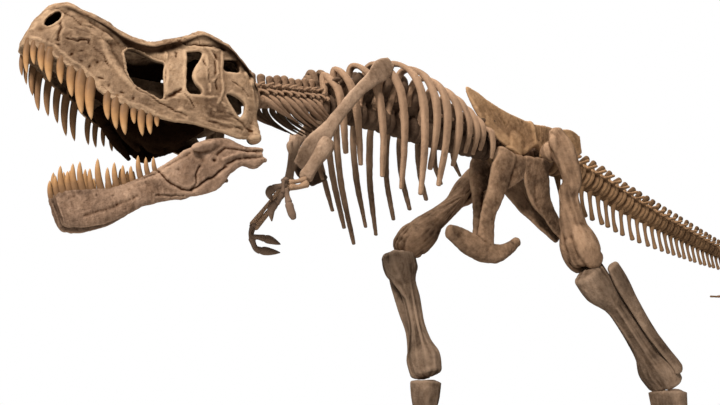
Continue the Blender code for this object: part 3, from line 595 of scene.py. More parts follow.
head = {
    "origin": (-3.183, -0.466, 2.349), "skullYaw": 0.055, "jawYaw": 0.09, "pitch": 0.10, "gape": 0.52,
    "top": [(1.398, 0.21), (1.372, 0.32), (1.331, 0.425), (1.263, 0.49), (1.121, 0.485), (1.017, 0.475),
            (0.897, 0.435), (0.808, 0.43), (0.721, 0.45), (0.617, 0.515), (0.54, 0.555), (0.459, 0.62),
            (0.356, 0.615), (0.271, 0.60), (0.185, 0.545), (0.09, 0.475), (0.03, 0.40)],
    "low": [(1.398, 0.142), (1.347, 0.138), (1.271, 0.108), (1.135, 0.049), (1.049, 0.018),
            (0.955, -0.045), (0.867, -0.075), (0.752, -0.085), (0.55, -0.09), (0.428, -0.071),
            (0.265, -0.072), (0.077, -0.055), (0.03, -0.02)],
    "halfWidth": [(1.398, 0.055), (1.36, 0.10), (1.33, 0.125), (1.25, 0.163), (1.1, 0.198), (1.0, 0.213),
                  (0.9, 0.231), (0.75, 0.241), (0.6, 0.256), (0.45, 0.281), (0.3, 0.30), (0.1, 0.303),
                  (0.03, 0.28)],
    "roof": [(1.398, 0.5), (1.25, 0.62), (0.9, 0.62), (0.72, 0.62), (0.5, 0.80), (0.3, 0.78), (0.03, 0.7)],
    "wall": 0.034, "cell": 0.0086,
    "nostril": [(1.322, 0.268), (1.316, 0.322), (1.275, 0.386), (1.250, 0.384), (1.258, 0.331), (1.290, 0.281)],
    "window": [(0.889, 0.246), (0.863, 0.285), (0.806, 0.292), (0.704, 0.27), (0.649, 0.268), (0.652, 0.204),
               (0.622, 0.035), (0.691, 0.039), (0.791, 0.063), (0.845, 0.119)],
    "fossa": [(0.961, 0.315), (1.006, 0.287), (0.966, 0.196), (0.916, 0.147), (0.865, 0.10), (0.808, 0.051),
              (0.70, 0.025), (0.61, 0.02), (0.64, 0.30), (0.756, 0.325), (0.882, 0.345)],
    "orbit": [(0.536, 0.392), (0.453, 0.423), (0.451, 0.382), (0.483, 0.265), (0.468, 0.2), (0.415, 0.155),
              (0.42, 0.125), (0.468, 0.109), (0.506, 0.13), (0.521, 0.251)],
    "templeUp": [(0.309, 0.418), (0.221, 0.442), (0.198, 0.373), (0.258, 0.348), (0.297, 0.344)],
    "templeLow": [(0.271, 0.177), (0.228, 0.194), (0.169, 0.181), (0.13, 0.149), (0.151, 0.059), (0.215, 0.105)],
    # place along the jaw, length on the left, length on the right
    "teeth": [(1.375, 0.17, 0.12), (1.345, 0.11, 0.15), (1.304, 0.128, 0.18), (1.262, 0.165, 0.235),
              (1.200, 0.134, 0.215), (1.140, 0.167, 0.21), (1.084, 0.235, 0.25), (1.028, 0.225, 0.235),
              (0.929, 0.139, 0.165), (0.880, 0.167, 0.15), (0.829, 0.175, 0.12), (0.777, 0.09, 0.13),
              (0.730, 0.145, 0.10), (0.683, 0.12, 0.11), (0.643, 0.06, 0.07)],
    "frontTooth": 1.32,
}
jaw = {
    "top": [(1.268, -0.044), (1.197, -0.045), (1.077, -0.069), (0.978, -0.09), (0.866, -0.086),
            (0.759, -0.067), (0.679, -0.047), (0.587, -0.016), (0.487, 0.014), (0.32, 0.047),
            (0.208, 0.017), (0.15, -0.035), (0.04, -0.078)],
    "low": [(1.268, -0.13), (1.25, -0.205), (1.2, -0.252), (1.148, -0.268), (1.051, -0.276), (0.951, -0.268),
            (0.84, -0.243), (0.75, -0.223), (0.66, -0.216), (0.55, -0.224), (0.45, -0.238), (0.38, -0.24),
            (0.265, -0.19), (0.174, -0.165), (0.113, -0.20), (0.04, -0.18)],
    "side": [(1.268, 0.036), (1.2, 0.072), (1.08, 0.103), (0.98, 0.12), (0.87, 0.137), (0.76, 0.152),
             (0.59, 0.183), (0.49, 0.202), (0.32, 0.235), (0.2, 0.252), (0.04, 0.265)],
    "halfThick": [(1.268, 0.034), (1.0, 0.037), (0.75, 0.034), (0.6, 0.028), (0.45, 0.024), (0.3, 0.026),
                  (0.15, 0.034), (0.04, 0.034)],
    "front": 1.245, "belly": {1: -0.04, -1: 0.03}, "cell": 0.0068,
    "teeth": [(1.228, 0.10), (1.20, 0.145), (1.17, 0.11), (1.14, 0.15), (1.105, 0.16), (1.06, 0.12),
              (1.015, 0.175), (0.97, 0.12), (0.93, 0.14), (0.885, 0.11), (0.84, 0.09), (0.79, 0.13),
              (0.745, 0.10), (0.70, 0.08)],
}


def headAxes(yaw, gape):
    pitch = head["pitch"]
    forward = np.array([-math.cos(yaw) * math.cos(pitch), -math.sin(yaw) * math.cos(pitch), math.sin(pitch)])
    left = np.array([math.sin(yaw), -math.cos(yaw), 0.0])
    up = np.cross(forward, left)
    return np.array([forward * math.cos(gape) - up * math.sin(gape), left,
                     forward * math.sin(gape) + up * math.cos(gape)])


def polygonDepth(flat, outline):
    # distance to a closed outline, positive inside it
    corners = np.asarray(outline, float)
    near = np.full(len(flat), 1e9)
    inside = np.zeros(len(flat), bool)
    for a, b in zip(corners, np.roll(corners, -1, axis=0)):
        near = np.minimum(near, legDistance(flat, a, b))
        crosses = (a[1] > flat[:, 1]) != (b[1] > flat[:, 1])
        at = a[0] + (flat[:, 1] - a[1]) * (b[0] - a[0]) / (b[1] - a[1] if b[1] != a[1] else 1e-9)
        inside ^= crosses & (flat[:, 0] < at)
    return np.where(inside, near, -near)


def softStep(value, low, high):
    t = np.clip((value - low) / (high - low), 0, 1)
    return t * t * (3 - 2 * t)


def prismThrough(outline, near, far):
    # a smooth closed outline in x and z, carried straight through from y = near to y = far
    loop = np.asarray(outline + outline[:1], float)
    ring = smoothPath(loop, 41)[:-1]
    if near < far:
        ring = ring[::-1]
    area = (ring[:, 0] * np.roll(ring[:, 1], -1) - np.roll(ring[:, 0], -1) * ring[:, 1]).sum()
    if (area < 0) == (near < far):
        ring = ring[::-1]
    rings = np.array([np.column_stack([ring[:, 0], np.full(40, y), ring[:, 1]])
                      for y in np.linspace(near, far, 4)])
    return closedGrid(rings)


def skullShell():
    # U-shaped rings: an outer arc over the roof and an inner one under it, carried along the head
    x = np.concatenate([np.linspace(1.398, 1.25, 22), np.linspace(1.24, 0.03, 96)])
    low, top = readPairs(head["low"], x), readPairs(head["top"], x)
    half, roof = readPairs(head["halfWidth"], x), readPairs(head["roof"], x)
    hollow = softStep(x, 1.30, 1.18)
    weights = np.column_stack([easeRead(row, np.linspace(0, 1, 70)) for row in np.eye(10)])

    def arc(low, top, half, roof):
        y = np.stack([0.95 * half, half, 0.95 * half, roof * half, roof * 0.45 * half], -1)
        z = low[:, None] + (top - low)[:, None] * np.array((0.0, 0.3, 0.62, 0.93, 1.0))
        y = np.concatenate([y, -y[:, ::-1]], 1)
        z = np.concatenate([z, z[:, ::-1]], 1)
        return y @ weights.T, z @ weights.T

    outerY, outerZ = arc(low, top, half, roof)
    innerHalf = np.maximum(half - head["wall"], 0.3 * half) * (0.25 + 0.75 * hollow)
    innerTop = low + np.maximum(top - low - 0.05, 0.01) * (0.04 + 0.96 * hollow)
    innerY, innerZ = arc(low, innerTop, innerHalf, roof)
    y = np.concatenate([outerY, innerY[:, ::-1]], 1)
    z = np.concatenate([outerZ, innerZ[:, ::-1]], 1)
    rings = np.stack([np.broadcast_to(x[:, None], y.shape), y, z], -1)
    return closedGrid(rings)


def cutAway(part, cutters):
    made = looseObject("cutting", part)
    blades = []
    for k, cutter in enumerate(cutters):
        blade = looseObject("blade%d" % k, cutter)
        step = made.modifiers.new("cut%d" % k, "BOOLEAN")
        step.object = blade
        step.operation = "DIFFERENCE"
        step.solver = "EXACT"
        blades.append(blade)
    made.modifiers.new("cornersToTriangles", "TRIANGULATE")
    mesh = evaluated(made)
    for blade in blades:
        bpy.data.objects.remove(blade)
    result = meshArrays(mesh)
    bpy.data.meshes.remove(mesh)
    return result


def makeCranium():
    shell = skullShell()
    print("skull shell laid out")
    cutters = [prismThrough(head[name], -0.5, 0.5) for name in ("window", "orbit", "templeUp", "templeLow")]
    cutters += [prismThrough(head["nostril"], 0.045 * w, 0.3 * w) for w in (1, -1)]
    shell = cutAway(shell, cutters)
    inner = [
        # the palate, a low vault between the tooth rows
        tube([(1.25, 0, 0.13), (1.0, 0, 0.07), (0.8, 0, 0.03), (0.62, 0, 0.03)], (0.05, 0.10, 0.11, 0.10),
             (0.02, 0.02, 0.02, 0.02), up=(0, 0, 1), square=2.6),
        # the upright plate in the middle plane
        tube([(1.2, 0, 0.18), (0.9, 0, 0.14), (0.55, 0, 0.16), (0.3, 0, 0.24)], (0.012, 0.014, 0.016, 0.03),
             (0.05, 0.07, 0.10, 0.12), square=2.5),
        # the braincase and the knob that carries the neck
        tube([(0.40, 0, 0.38), (0.28, 0, 0.37), (0.14, 0, 0.36), (0.05, 0, 0.355)], (0.09, 0.12, 0.12, 0.06),
             (0.12, 0.12, 0.11, 0.06)),
        lump((-0.005, 0, 0.35), (0.045, 0.05, 0.045)),
        # the wide plate across the back of the head
        tube([(0.10, -0.26, 0.30), (0.08, -0.14, 0.40), (0.075, 0, 0.43), (0.08, 0.14, 0.40), (0.10, 0.26, 0.30)],
             (0.022, 0.022, 0.024, 0.022, 0.022), (0.05, 0.09, 0.12, 0.09, 0.05), up=(0, 0, 1), square=2.5),
    ]
    sides = [
        # the bone that carries the lower jaw, and the strut down to it
        tube([(0.13, 0.20, 0.34), (0.075, 0.235, 0.20), (0.045, 0.255, 0.06), (0.02, 0.262, -0.035)],
             (0.045, 0.03, 0.035, 0.06), (0.05, 0.045, 0.04, 0.045), up=(1, 0, 0)),
        # the wings of the palate, which hang down behind the tooth row
        tube([(0.90, 0.10, -0.03), (0.76, 0.105, -0.09), (0.62, 0.115, -0.12), (0.47, 0.13, -0.08),
              (0.34, 0.15, 0.0)], (0.020, 0.020, 0.018, 0.016, 0.012),
             (0.05, 0.095, 0.12, 0.09, 0.05), up=(0, 0, 1), square=2.4, blunt=1.0),
        tube([(0.84, 0.08, -0.12), (0.73, 0.085, -0.215), (0.66, 0.09, -0.275)], (0.014, 0.018, 0.010),
             (0.03, 0.036, 0.016), up=(0, 0, 1)),
        tube([(0.66, 0.10, -0.18), (0.585, 0.10, -0.235), (0.53, 0.105, -0.225)], (0.012, 0.014, 0.010),
             (0.05, 0.04, 0.022), up=(0, 0, 1)),
        # the plate that closes the cheek from within
        tube([(0.34, 0.17, 0.30), (0.24, 0.19, 0.20), (0.17, 0.21, 0.10)], (0.016, 0.016, 0.016),
             (0.12, 0.13, 0.08), up=(1, 0, 0), square=2.6),
        # the bar that crosses the opening behind the eye
        tube([(0.31, 0.262, 0.325), (0.25, 0.272, 0.325), (0.20, 0.275, 0.345), (0.14, 0.27, 0.37)],
             (0.014, 0.013, 0.013, 0.014), (0.022, 0.017, 0.017, 0.03), up=(0, 0, 1)),
        # the rough bosses before and behind the eye
        tube([(0.62, 0.165, 0.455), (0.52, 0.195, 0.505), (0.42, 0.215, 0.535), (0.34, 0.225, 0.52)],
             (0.016, 0.030, 0.034, 0.024), (0.016, 0.032, 0.036, 0.024)),
        # the flange of the cheek under the eye
        lump((0.44, 0.262, -0.01), (0.10, 0.018, 0.055)),
    ]
    inner += mirrored(sides)
    part = fused([shell] + inner, head["cell"], 3)
    print("skull skinned:", len(part[1]), "cells")
    return part


def carveSkull(part):
    # grooves, ridges, pits and sunken walls pressed into the outer sides along their normals
    p = part[0]
    normals = normalsOf(part)
    out = softStep(np.sign(p[:, 1]) * normals[:, 1], 0.1, 0.55) * softStep(
        np.abs(p[:, 1]), 0.55 * readPairs(head["halfWidth"], p[:, 0]), 0.75 * readPairs(head["halfWidth"], p[:, 0]))
    flat = p[:, [0, 2]]
    wander = 0.006 * np.column_stack([layeredNoise(p, 0.05, 3, 2), layeredNoise(p, 0.05, 9, 2)])
    flat = flat + wander
    fossa = softStep(polygonDepth(flat, head["fossa"]), -0.010, 0.034)
    push = -0.020 * fossa
    marks = [
        # path in x and z, width, depth; a positive depth is a ridge
        ([(1.252, 0.323), (1.238, 0.284), (1.244, 0.233), (1.235, 0.19)], 0.007, -0.010),
        ([(1.172, 0.22), (1.138, 0.22), (1.124, 0.236), (1.083, 0.246), (1.083, 0.224)], 0.006, -0.008),
        ([(1.132, 0.406), (1.008, 0.37), (0.907, 0.318), (0.79, 0.318), (0.716, 0.34), (0.666, 0.395),
          (0.575, 0.455)], 0.012, 0.007),
        ([(1.10, 0.375), (1.0, 0.345), (0.93, 0.315)], 0.010, -0.006),
        ([(0.656, 0.341), (0.649, 0.24), (0.622, 0.15), (0.628, 0.067)], 0.010, 0.008),
        ([(0.56, 0.391), (0.54, 0.25), (0.515, 0.133)], 0.010, 0.006),
        ([(0.613, 0.039), (0.571, 0.075), (0.539, 0.119)], 0.012, -0.013),
        ([(0.60, 0.36), (0.595, 0.33)], 0.009, -0.010),
        ([(1.325, 0.255), (1.27, 0.30), (1.235, 0.39)], 0.024, -0.010),
        ([(0.587, 0.469), (0.543, 0.444), (0.454, 0.465), (0.386, 0.501), (0.31, 0.496)], 0.010, -0.013),
        ([(0.568, 0.44), (0.50, 0.435), (0.43, 0.45), (0.36, 0.47)], 0.010, 0.006),
        ([(0.327, 0.539), (0.238, 0.478), (0.152, 0.379), (0.105, 0.301), (0.063, 0.178)], 0.012, 0.006),
        ([(0.328, 0.46), (0.316, 0.329), (0.29, 0.20), (0.31, 0.10)], 0.009, 0.007),
        ([(0.42, 0.40), (0.40, 0.27), (0.37, 0.16)], 0.010, 0.006),
        ([(0.365, 0.43), (0.355, 0.30), (0.335, 0.19)], 0.010, -0.007),
        ([(0.791, 0.043), (0.701, 0.021), (0.628, -0.009), (0.558, -0.019), (0.476, -0.038)], 0.006, -0.008),
        ([(0.573, 0.086), (0.521, 0.105), (0.473, 0.073), (0.435, 0.03)], 0.005, -0.008),
        ([(0.461, 0.103), (0.38, 0.117), (0.324, 0.135), (0.266, 0.095)], 0.010, 0.006),
        ([(0.39, 0.02), (0.30, 0.01), (0.21, 0.03)], 0.018, -0.006),
        ([(0.966, -0.002), (0.925, -0.031), (0.872, -0.044)], 0.005, -0.006),
        ([(1.36, 0.19), (1.30, 0.175), (1.221, 0.142), (1.124, 0.088), (1.039, 0.048), (0.967, -0.007),
          (0.89, -0.04), (0.793, -0.059), (0.66, -0.06)], 0.011, 0.005),
        ([(1.37, 0.24), (1.355, 0.30), (1.32, 0.38)], 0.010, 0.006),
        ([(1.22, 0.42), (1.10, 0.43), (0.98, 0.41), (0.90, 0.385)], 0.008, -0.004),
        ([(1.02, 0.26), (0.97, 0.17), (0.90, 0.10), (0.80, 0.03)], 0.014, 0.005),
        ([(0.71, 0.40), (0.63, 0.455)], 0.006, -0.006),
        ([(1.30, 0.42), (1.20, 0.37), (1.14, 0.33), (1.08, 0.34)], 0.005, -0.005),
        ([(1.20, 0.29), (1.13, 0.30), (1.06, 0.285)], 0.004, -0.004),
        ([(1.05, 0.215), (1.0, 0.18), (0.96, 0.12)], 0.005, -0.005),
        ([(0.44, 0.36), (0.40, 0.31), (0.385, 0.22)], 0.006, -0.008),
        ([(0.40, 0.44), (0.355, 0.39), (0.34, 0.30), (0.36, 0.24)], 0.007, 0.007),
        ([(0.24, 0.28), (0.17, 0.26), (0.12, 0.22)], 0.006, -0.006),
        ([(0.30, 0.06), (0.22, 0.055), (0.13, 0.02), (0.06, 0.0)], 0.009, -0.008),
        ([(0.34, -0.03), (0.24, -0.028), (0.12, -0.012)], 0.007, -0.006),
    ]
    for path, width, depth in marks:
        push += depth * alongPath(flat, path, width) * (1 + 0.35 * latticeNoise(p, 0.03, 40))
    pits = [(1.288, 0.182), (1.229, 0.167), (1.155, 0.138), (1.099, 0.109), (1.051, 0.088), (0.979, 0.038),
            (0.93, 0.008), (0.86, -0.012), (0.79, -0.024), (1.11, 0.165), (1.02, 0.125), (1.19, 0.215)]
    for k, (x, z) in enumerate(pits):
        long, tall = (0.013, 0.006) if k % 2 else (0.007, 0.011)
        push -= (0.005 + 0.002 * (k % 3)) * np.exp(-((flat[:, 0] - x) / long) ** 2 - ((flat[:, 1] - z) / tall) ** 2)
    # long fine grain on the bar under the eye
    grain = layeredNoise(np.column_stack([p[:, 0] * 0.16, p[:, 1] * 0.3, p[:, 2]]), 0.010, 27, 2)
    push += 0.0026 * grain * softStep(p[:, 2], 0.13, 0.05) * softStep(p[:, 0], 0.80, 0.66)
    rough = softStep(p[:, 2] - readPairs(head["top"], p[:, 0]), -0.10, -0.02)
    push = push * out
    push += (0.0032 * rough + 0.0018) * layeredNoise(p, 0.034, 11, 3) * softStep(np.abs(p[:, 1]), 0.0, 0.05)
    push += 0.0035 * layeredNoise(p, 0.11, 21, 2) * out
    wrinkle = np.abs(latticeNoise(p * (0.5, 1, 1), 0.026, 71)) + np.abs(latticeNoise(p * (1, 1, 0.45), 0.040, 72))
    push -= 0.0022 * softStep(wrinkle, 0.16, 0.0) * out
    # painted shade in the sunken fossa
    paintedShade = 0.30 * fossa * out
    # painted shade: everything inside the shell is darker than its outer face, a little less in a band halfway up that
    # the light reaches
    half = readPairs(head["halfWidth"], p[:, 0])
    top = readPairs(head["top"], p[:, 0])
    within = softStep(np.abs(p[:, 1]) - (half - 0.03), 0.004, -0.012) * softStep(p[:, 2] - (top - 0.05), 0.0, -0.03)
    lit = softStep(p[:, 2], 0.04, 0.12) * softStep(p[:, 2], 0.32, 0.24)
    paintedShade = np.maximum(paintedShade, within * (0.985 - 0.50 * lit))
    return pushed(part, push), paintedShade


def toothRow(roots, lengths, radii, droop, bright, around=16, along=15):
    # curved cones as whole arrays: an oval shrinks from root to tip while its centre bends back
    roots, lengths, radii = (np.asarray(v, float) for v in (roots, lengths, radii))
    share = np.linspace(-0.16, 1.0, along)
    size = np.clip(1 - np.clip(share, 0, 1) ** 3.6, 0.003, 1) ** 0.60 * (1 - 0.20 * np.clip(share, 0, 1))
    size = np.where(share < 0, 1 + 0.35 * share, size)
    angle = np.arange(around) * 2 * math.pi / around
    centre = roots[:, None] + np.stack([
        -0.20 * lengths[:, None] * np.clip(share, 0, 2) ** 2,
        np.zeros((len(roots), along)),
        droop * lengths[:, None] * share], -1)
    width = radii[:, None] * size
    rings = centre[:, :, None] + np.stack([
        width[..., None] * np.cos(angle), 0.72 * width[..., None] * np.sin(angle),
        np.zeros((len(roots), along, around))], -1)
    teeth = joined([closedGrid(one) for one in rings])
    one = np.concatenate([np.repeat(np.clip(share, 0, 1), around), [0.0, 1.0]])
    shade = (np.asarray(bright)[:, None] * one).ravel()
    return teeth, shade


def makeHead():
    axes = headAxes(head["skullYaw"], 0.0)
    origin = head["origin"]
    part, paintedShade = carveSkull(makeCranium())
    showPiece("craniumBone", moved(part, origin, axes), ["cranium"], finish["skull"], paintedShade)
    roots, lengths, radii, bright = [], [], [], []
    for way, side in ((1, 1), (-1, 2)):
        for tooth in head["teeth"]:
            x, length = tooth[0], tooth[side]
            roots.append((x - 0.008, way * (float(readPairs(head["halfWidth"], x - 0.02)) - 0.027),
                          float(readPairs(head["low"], x)) + 0.012))
            lengths.append(length + 0.008)
            radii.append((0.019 if x > head["frontTooth"] else 0.080 * length + 0.0125) * (1 if way > 0 else 0.74))
            # the far-side teeth get a lower value, so the tooth finish paints them darker as shade
            bright.append(1.0 if way > 0 else 0.42)
    teeth, shade = toothRow(roots, lengths, radii, -1, bright)
    showPiece("teethUpper", moved(teeth, origin, axes), ["cranium"], finish["teeth"], shade)


def makeJaw(name, way):
    axes = headAxes(head["jawYaw"], head["gape"])
    origin = head["origin"]
    x = np.linspace(jaw["front"], 0.04, 150)
    low, top = readPairs(jaw["low"], x), readPairs(jaw["top"], x)
    low = low + jaw["belly"][way] * np.maximum(0, 1 - ((x - 0.56) / 0.27) ** 2)
    side, half = readPairs(jaw["side"], x), readPairs(jaw["halfThick"], x)
    y, z = ovalRound(np.arange(44) * 2 * math.pi / 44, 2.6, 3.4)
    # thickest a third of the way up, thin above
    thin = 1 - 0.22 * softStep(z, 0.0, 1.0)
    rings = np.stack([np.broadcast_to(x[:, None], (150, 44)),
                      way * side[:, None] + half[:, None] * (y * thin),
                      (0.5 * (low + top))[:, None] + 0.5 * (top - low)[:, None] * z], -1)
    plate = closedGrid(rings)
    extras = [
        tube([(0.13, way * 0.24, -0.085), (0.08, way * 0.262, -0.085), (0.03, way * 0.275, -0.10)],
             (0.026, 0.036, 0.028), (0.018, 0.022, 0.018), up=(0, 0, 1)),
        tube([(0.14, way * 0.255, -0.12), (0.05, way * 0.262, -0.15), (0.015, way * 0.262, -0.165)],
             (0.020, 0.020, 0.014), (0.022, 0.022, 0.016), up=(0, 0, 1)),
        lump((0.36, way * 0.247, 0.01), (0.12, 0.024, 0.035)),
    ]
    part = fused([plate] + extras, jaw["cell"], 3)
    p = part[0]
    normals = normalsOf(part)
    flat = p[:, [0, 2]] + 0.005 * np.column_stack([layeredNoise(p, 0.05, 3, 2), layeredNoise(p, 0.05, 9, 2)])
    out = softStep(way * normals[:, 1], 0.05, 0.5)
    push = np.zeros(len(p))
    for path, width, depth in [
        ([(0.69, -0.06), (0.679, -0.105), (0.639, -0.162), (0.598, -0.21), (0.544, -0.225), (0.464, -0.201),
          (0.39, -0.18), (0.30, -0.15)], 0.008, -0.014),
        ([(0.544, -0.225), (0.503, -0.19), (0.492, -0.141), (0.45, -0.10)], 0.006, -0.009),
        ([(0.33, -0.06), (0.264, -0.034), (0.212, -0.051), (0.141, -0.085), (0.036, -0.103)], 0.010, -0.011),
        ([(0.304, -0.138), (0.225, -0.118), (0.126, -0.132), (0.052, -0.140)], 0.010, -0.009),
        ([(0.30, -0.095), (0.2, -0.085), (0.1, -0.11)], 0.012, 0.008),
        ([(0.748, -0.204), (0.67, -0.229), (0.597, -0.247)], 0.006, -0.008),
        ([(1.15, -0.205), (1.077, -0.204), (1.024, -0.203), (0.953, -0.197), (0.86, -0.18)], 0.010, -0.006),
        ([(0.774, -0.085), (0.695, -0.076), (0.583, -0.035), (0.48, -0.012)], 0.007, -0.007),
        ([(0.832, -0.105), (0.736, -0.105), (0.657, -0.12)], 0.010, 0.005),
        ([(1.25, -0.10), (1.24, -0.175), (1.245, -0.22)], 0.010, -0.006),
        ([(0.53, 0.0), (0.43, 0.015), (0.33, 0.018)], 0.016, 0.008),
    ]:
        push += depth * alongPath(flat, path, width) * (1 + 0.3 * latticeNoise(p, 0.03, 44))
    for x0, z0, r, deep in ((1.17, -0.09, 0.007, 0.005), (1.06, -0.12, 0.007, 0.005), (0.977, -0.138, 0.007, 0.005),
                            (0.581, -0.086, 0.020, 0.007), (0.424, -0.064, 0.022, 0.008),
                            (0.36, -0.09, 0.012, 0.016), (0.73, -0.15, 0.04, 0.005)):
        push -= deep * np.exp(-((flat[:, 0] - x0) ** 2 + (flat[:, 1] - z0) ** 2) / r ** 2)
    # fine upright grain on the tooth bearing part
    grain = layeredNoise(np.column_stack([p[:, 0], p[:, 1] * 0.3, p[:, 2] * 0.2]), 0.012, 29, 2)
    push += 0.0022 * grain * softStep(p[:, 0], 0.62, 0.72)
    wrinkle = np.abs(latticeNoise(p * (0.45, 1, 1), 0.030, 73)) + np.abs(latticeNoise(p * (1, 1, 0.5), 0.045, 74))
    push -= 0.0020 * softStep(wrinkle, 0.16, 0.0)
    push = push * out + 0.0024 * layeredNoise(p, 0.032, 31, 3) + 0.003 * layeredNoise(p, 0.12, 33, 2) * out
    edge = softStep(p[:, 2] - readPairs(jaw["top"], p[:, 0]), -0.03, 0.0) * softStep(p[:, 0], 0.66, 0.72)
    # painted shade on the inner face of the jaw, which looks into the mouth, and a darker band along the top edge of
    # the front, tooth-bearing part
    paintedShade = np.maximum(0.45 * softStep(-way * normals[:, 1], 0.2, 0.7), 0.35 * edge)
    showPiece("jawBone" + name, moved(pushed(part, push), origin, axes),
              ["mandible_" + name.lower()], finish["jaw"], paintedShade)
    xs = np.array([t[0] for t in jaw["teeth"]])
    lengths = np.array([t[1] for t in jaw["teeth"]])
    roots = np.column_stack([xs, way * readPairs(jaw["side"], xs), readPairs(jaw["top"], xs) - 0.012])
    teeth, shade = toothRow(roots, lengths + 0.008, 0.060 * lengths + 0.0105, 1, np.full(len(xs), 0.85))
    showPiece("teethLower" + name, moved(teeth, origin, axes), ["mandible_" + name.lower()],
              finish["teeth"], shade)


makeHead()
makeJaw("Left", 1)
makeJaw("Right", -1)
print("head done")


neck = {"cell": 0.0062, "centrum": 0.072, "rib": (0.017, 0.013, 0.008, 0.004)}


def makeNeck():
    start, end = 0.0, float(distanceAt(column["trunkStart"]))
    count = column["neckBones"]
    long = (end - start) / count
    places = start + long * (np.arange(count) + 0.5)
    r = neck["centrum"]
    middle = [
        tube([(-0.5 * long, 0, 0), (-0.42 * long, 0, 0), (0, 0, 0), (0.42 * long, 0, 0), (0.5 * long, 0, 0)],
             (r, r * 1.02, r * 0.74, r * 1.02, r), (r * 0.95, r * 0.97, r * 0.72, r * 0.97, r * 0.95), around=28,
             blunt=0.1),
        lump((0.0, 0, 0.075), (0.034, 0.046, 0.045)),
        tube([(0.0, 0, 0.08), (0.006, 0, 0.12), (0.012, 0, 0.158)], (0.026, 0.026, 0.032),
             (0.040, 0.034, 0.036), up=(1, 0, 0), blunt=0.8),
    ]
    sides = [
        tube([(0.0, 0.03, 0.07), (0.03, 0.055, 0.085), (0.055, 0.07, 0.09)], (0.018, 0.014, 0.018),
             (0.016, 0.012, 0.010)),
        tube([(0.0, 0.03, 0.06), (-0.03, 0.055, 0.07), (-0.05, 0.066, 0.078)], (0.016, 0.013, 0.017),
             (0.016, 0.012, 0.009)),
        tube([(0.0, 0.045, 0.045), (0.012, 0.085, 0.03), (0.02, 0.112, 0.0)], (0.026, 0.020, 0.014),
             (0.014, 0.011, 0.010), up=(0, 0, 1)),
        lump((-0.01, 0.068, -0.03), (0.02, 0.022, 0.018)),
    ]
    bone = fused(middle + mirrored(sides), neck["cell"], 3)
    bone = roughened(bone, 0.003, 0.0022, 5)
    wobble = 1 + 0.07 * np.sin(np.arange(count) * 2.3)
    scales = np.column_stack([np.full(count, 0.96), wobble, 1 + 0.05 * np.cos(np.arange(count) * 1.7)])
    parts = [copiesAlong(bone, places, bone[0] * scales[:, None])]
    shade = [np.zeros(len(parts[0][0]))]
    for number, place in enumerate(places):
        c, a, s, u = columnAt(place)
        size = 1 - 0.04 * abs(number - 3)
        for way in (-1, 1) if number < count - 1 else ():
            root = c + way * 0.062 * s - 0.012 * u
            drift = 0.012 * math.sin(number * 4.1 + way)
            rib = [root, root + size * (way * 0.045 * s - 0.045 * u + 0.012 * a),
                   root + size * (way * (0.052 + drift) * s - 0.11 * u + 0.065 * a),
                   root + size * (way * (0.048 + drift) * s - 0.165 * u + 0.145 * a),
                   root + size * (way * (0.035 + drift) * s - 0.225 * u + 0.26 * a)]
            parts.append(tube(rib, (0.015, 0.017, 0.013, 0.008, 0.0035),
                              (0.022, 0.024, 0.018, 0.010, 0.004), around=12, along=34, up=s, square=2.4))
            shade.append(np.full(len(parts[-1][0]), 0.0 if way > 0 else 0.7))
    showPiece("neckBones", joined(parts), ["neck"], finish["spine"], np.concatenate(shade))


trunk = {
    # x where a rib starts, height of its tip, half width of the cage there, rise over the column
    "left": [(-2.44, 2.52, 0.16, 0.22), (-2.32, 2.46, 0.21, 0.27), (-2.14, 2.40, 0.32, 0.31),
             (-1.965, 2.32, 0.42, 0.34), (-1.77, 2.30, 0.50, 0.37), (-1.58, 2.54, 0.51, 0.37),
             (-1.42, 2.42, 0.50, 0.34), (-1.23, 2.64, 0.46, 0.32), (-1.05, 2.81, 0.40, 0.31),
             (-0.92, 2.83, 0.35, 0.27), (-0.79, 2.91, 0.30, 0.23), (-0.62, 2.88, 0.24, 0.17)],
    "right": [(-2.44, 2.52, 0.18, 0.24), (-2.33, 2.40, 0.25, 0.30), (-2.15, 2.20, 0.36, 0.35),
              (-1.93, 2.11, 0.45, 0.38), (-1.79, 2.00, 0.49, 0.37), (-1.61, 2.18, 0.51, 0.37),
              (-1.45, 2.13, 0.52, 0.35), (-1.27, 2.30, 0.51, 0.33), (-1.13, 2.42, 0.48, 0.32),
              (-0.97, 2.53, 0.42, 0.29), (-0.81, 2.70, 0.36, 0.25), (-0.63, 2.80, 0.28, 0.17)],
    "sweep": 0.25, "tipBack": {-1: 0.045, 1: 0.0}, "centrum": 0.094, "cell": 0.0085,
}


def trunkTemplate(long, spineTop, reach):
    r = trunk["centrum"]
    low = -0.026
    middle = [
        tube([(share * long, 0, low) for share in (-0.5, -0.44, 0, 0.44, 0.5)],
             (r, r * 1.03, r * 0.80, r * 1.03, r), (r * 1.16, r * 1.2, r * 0.98, r * 1.2, r * 1.16), around=32,
             along=26, blunt=0.08),
        tube([(-0.40 * long, 0, 0.085), (0.40 * long, 0, 0.085)], (0.046, 0.042), (0.055, 0.055), along=12),
        tube([(0.0, 0, 0.10), (0.002, 0, 0.5 * (0.10 + spineTop)), (0.006, 0, spineTop)], (0.020, 0.018, 0.023),
             (0.074, 0.074, 0.076), up=(1, 0, 0), square=3.2, blunt=0.35),
    ]
    sides = [
        tube([(0.0, 0.025, 0.10), (0.005, 0.5 * reach, 0.14), (0.01, reach, 0.17)], (0.062, 0.052, 0.040),
             (0.028, 0.020, 0.020), up=(0, 0, 1), square=2.4),
        lump((-0.3 * long, 0.072, 0.045), (0.024, 0.022, 0.026)),
    ]
    return roughened(fused(middle + mirrored(sides), trunk["cell"], 3), 0.004, 0.0026, 15)


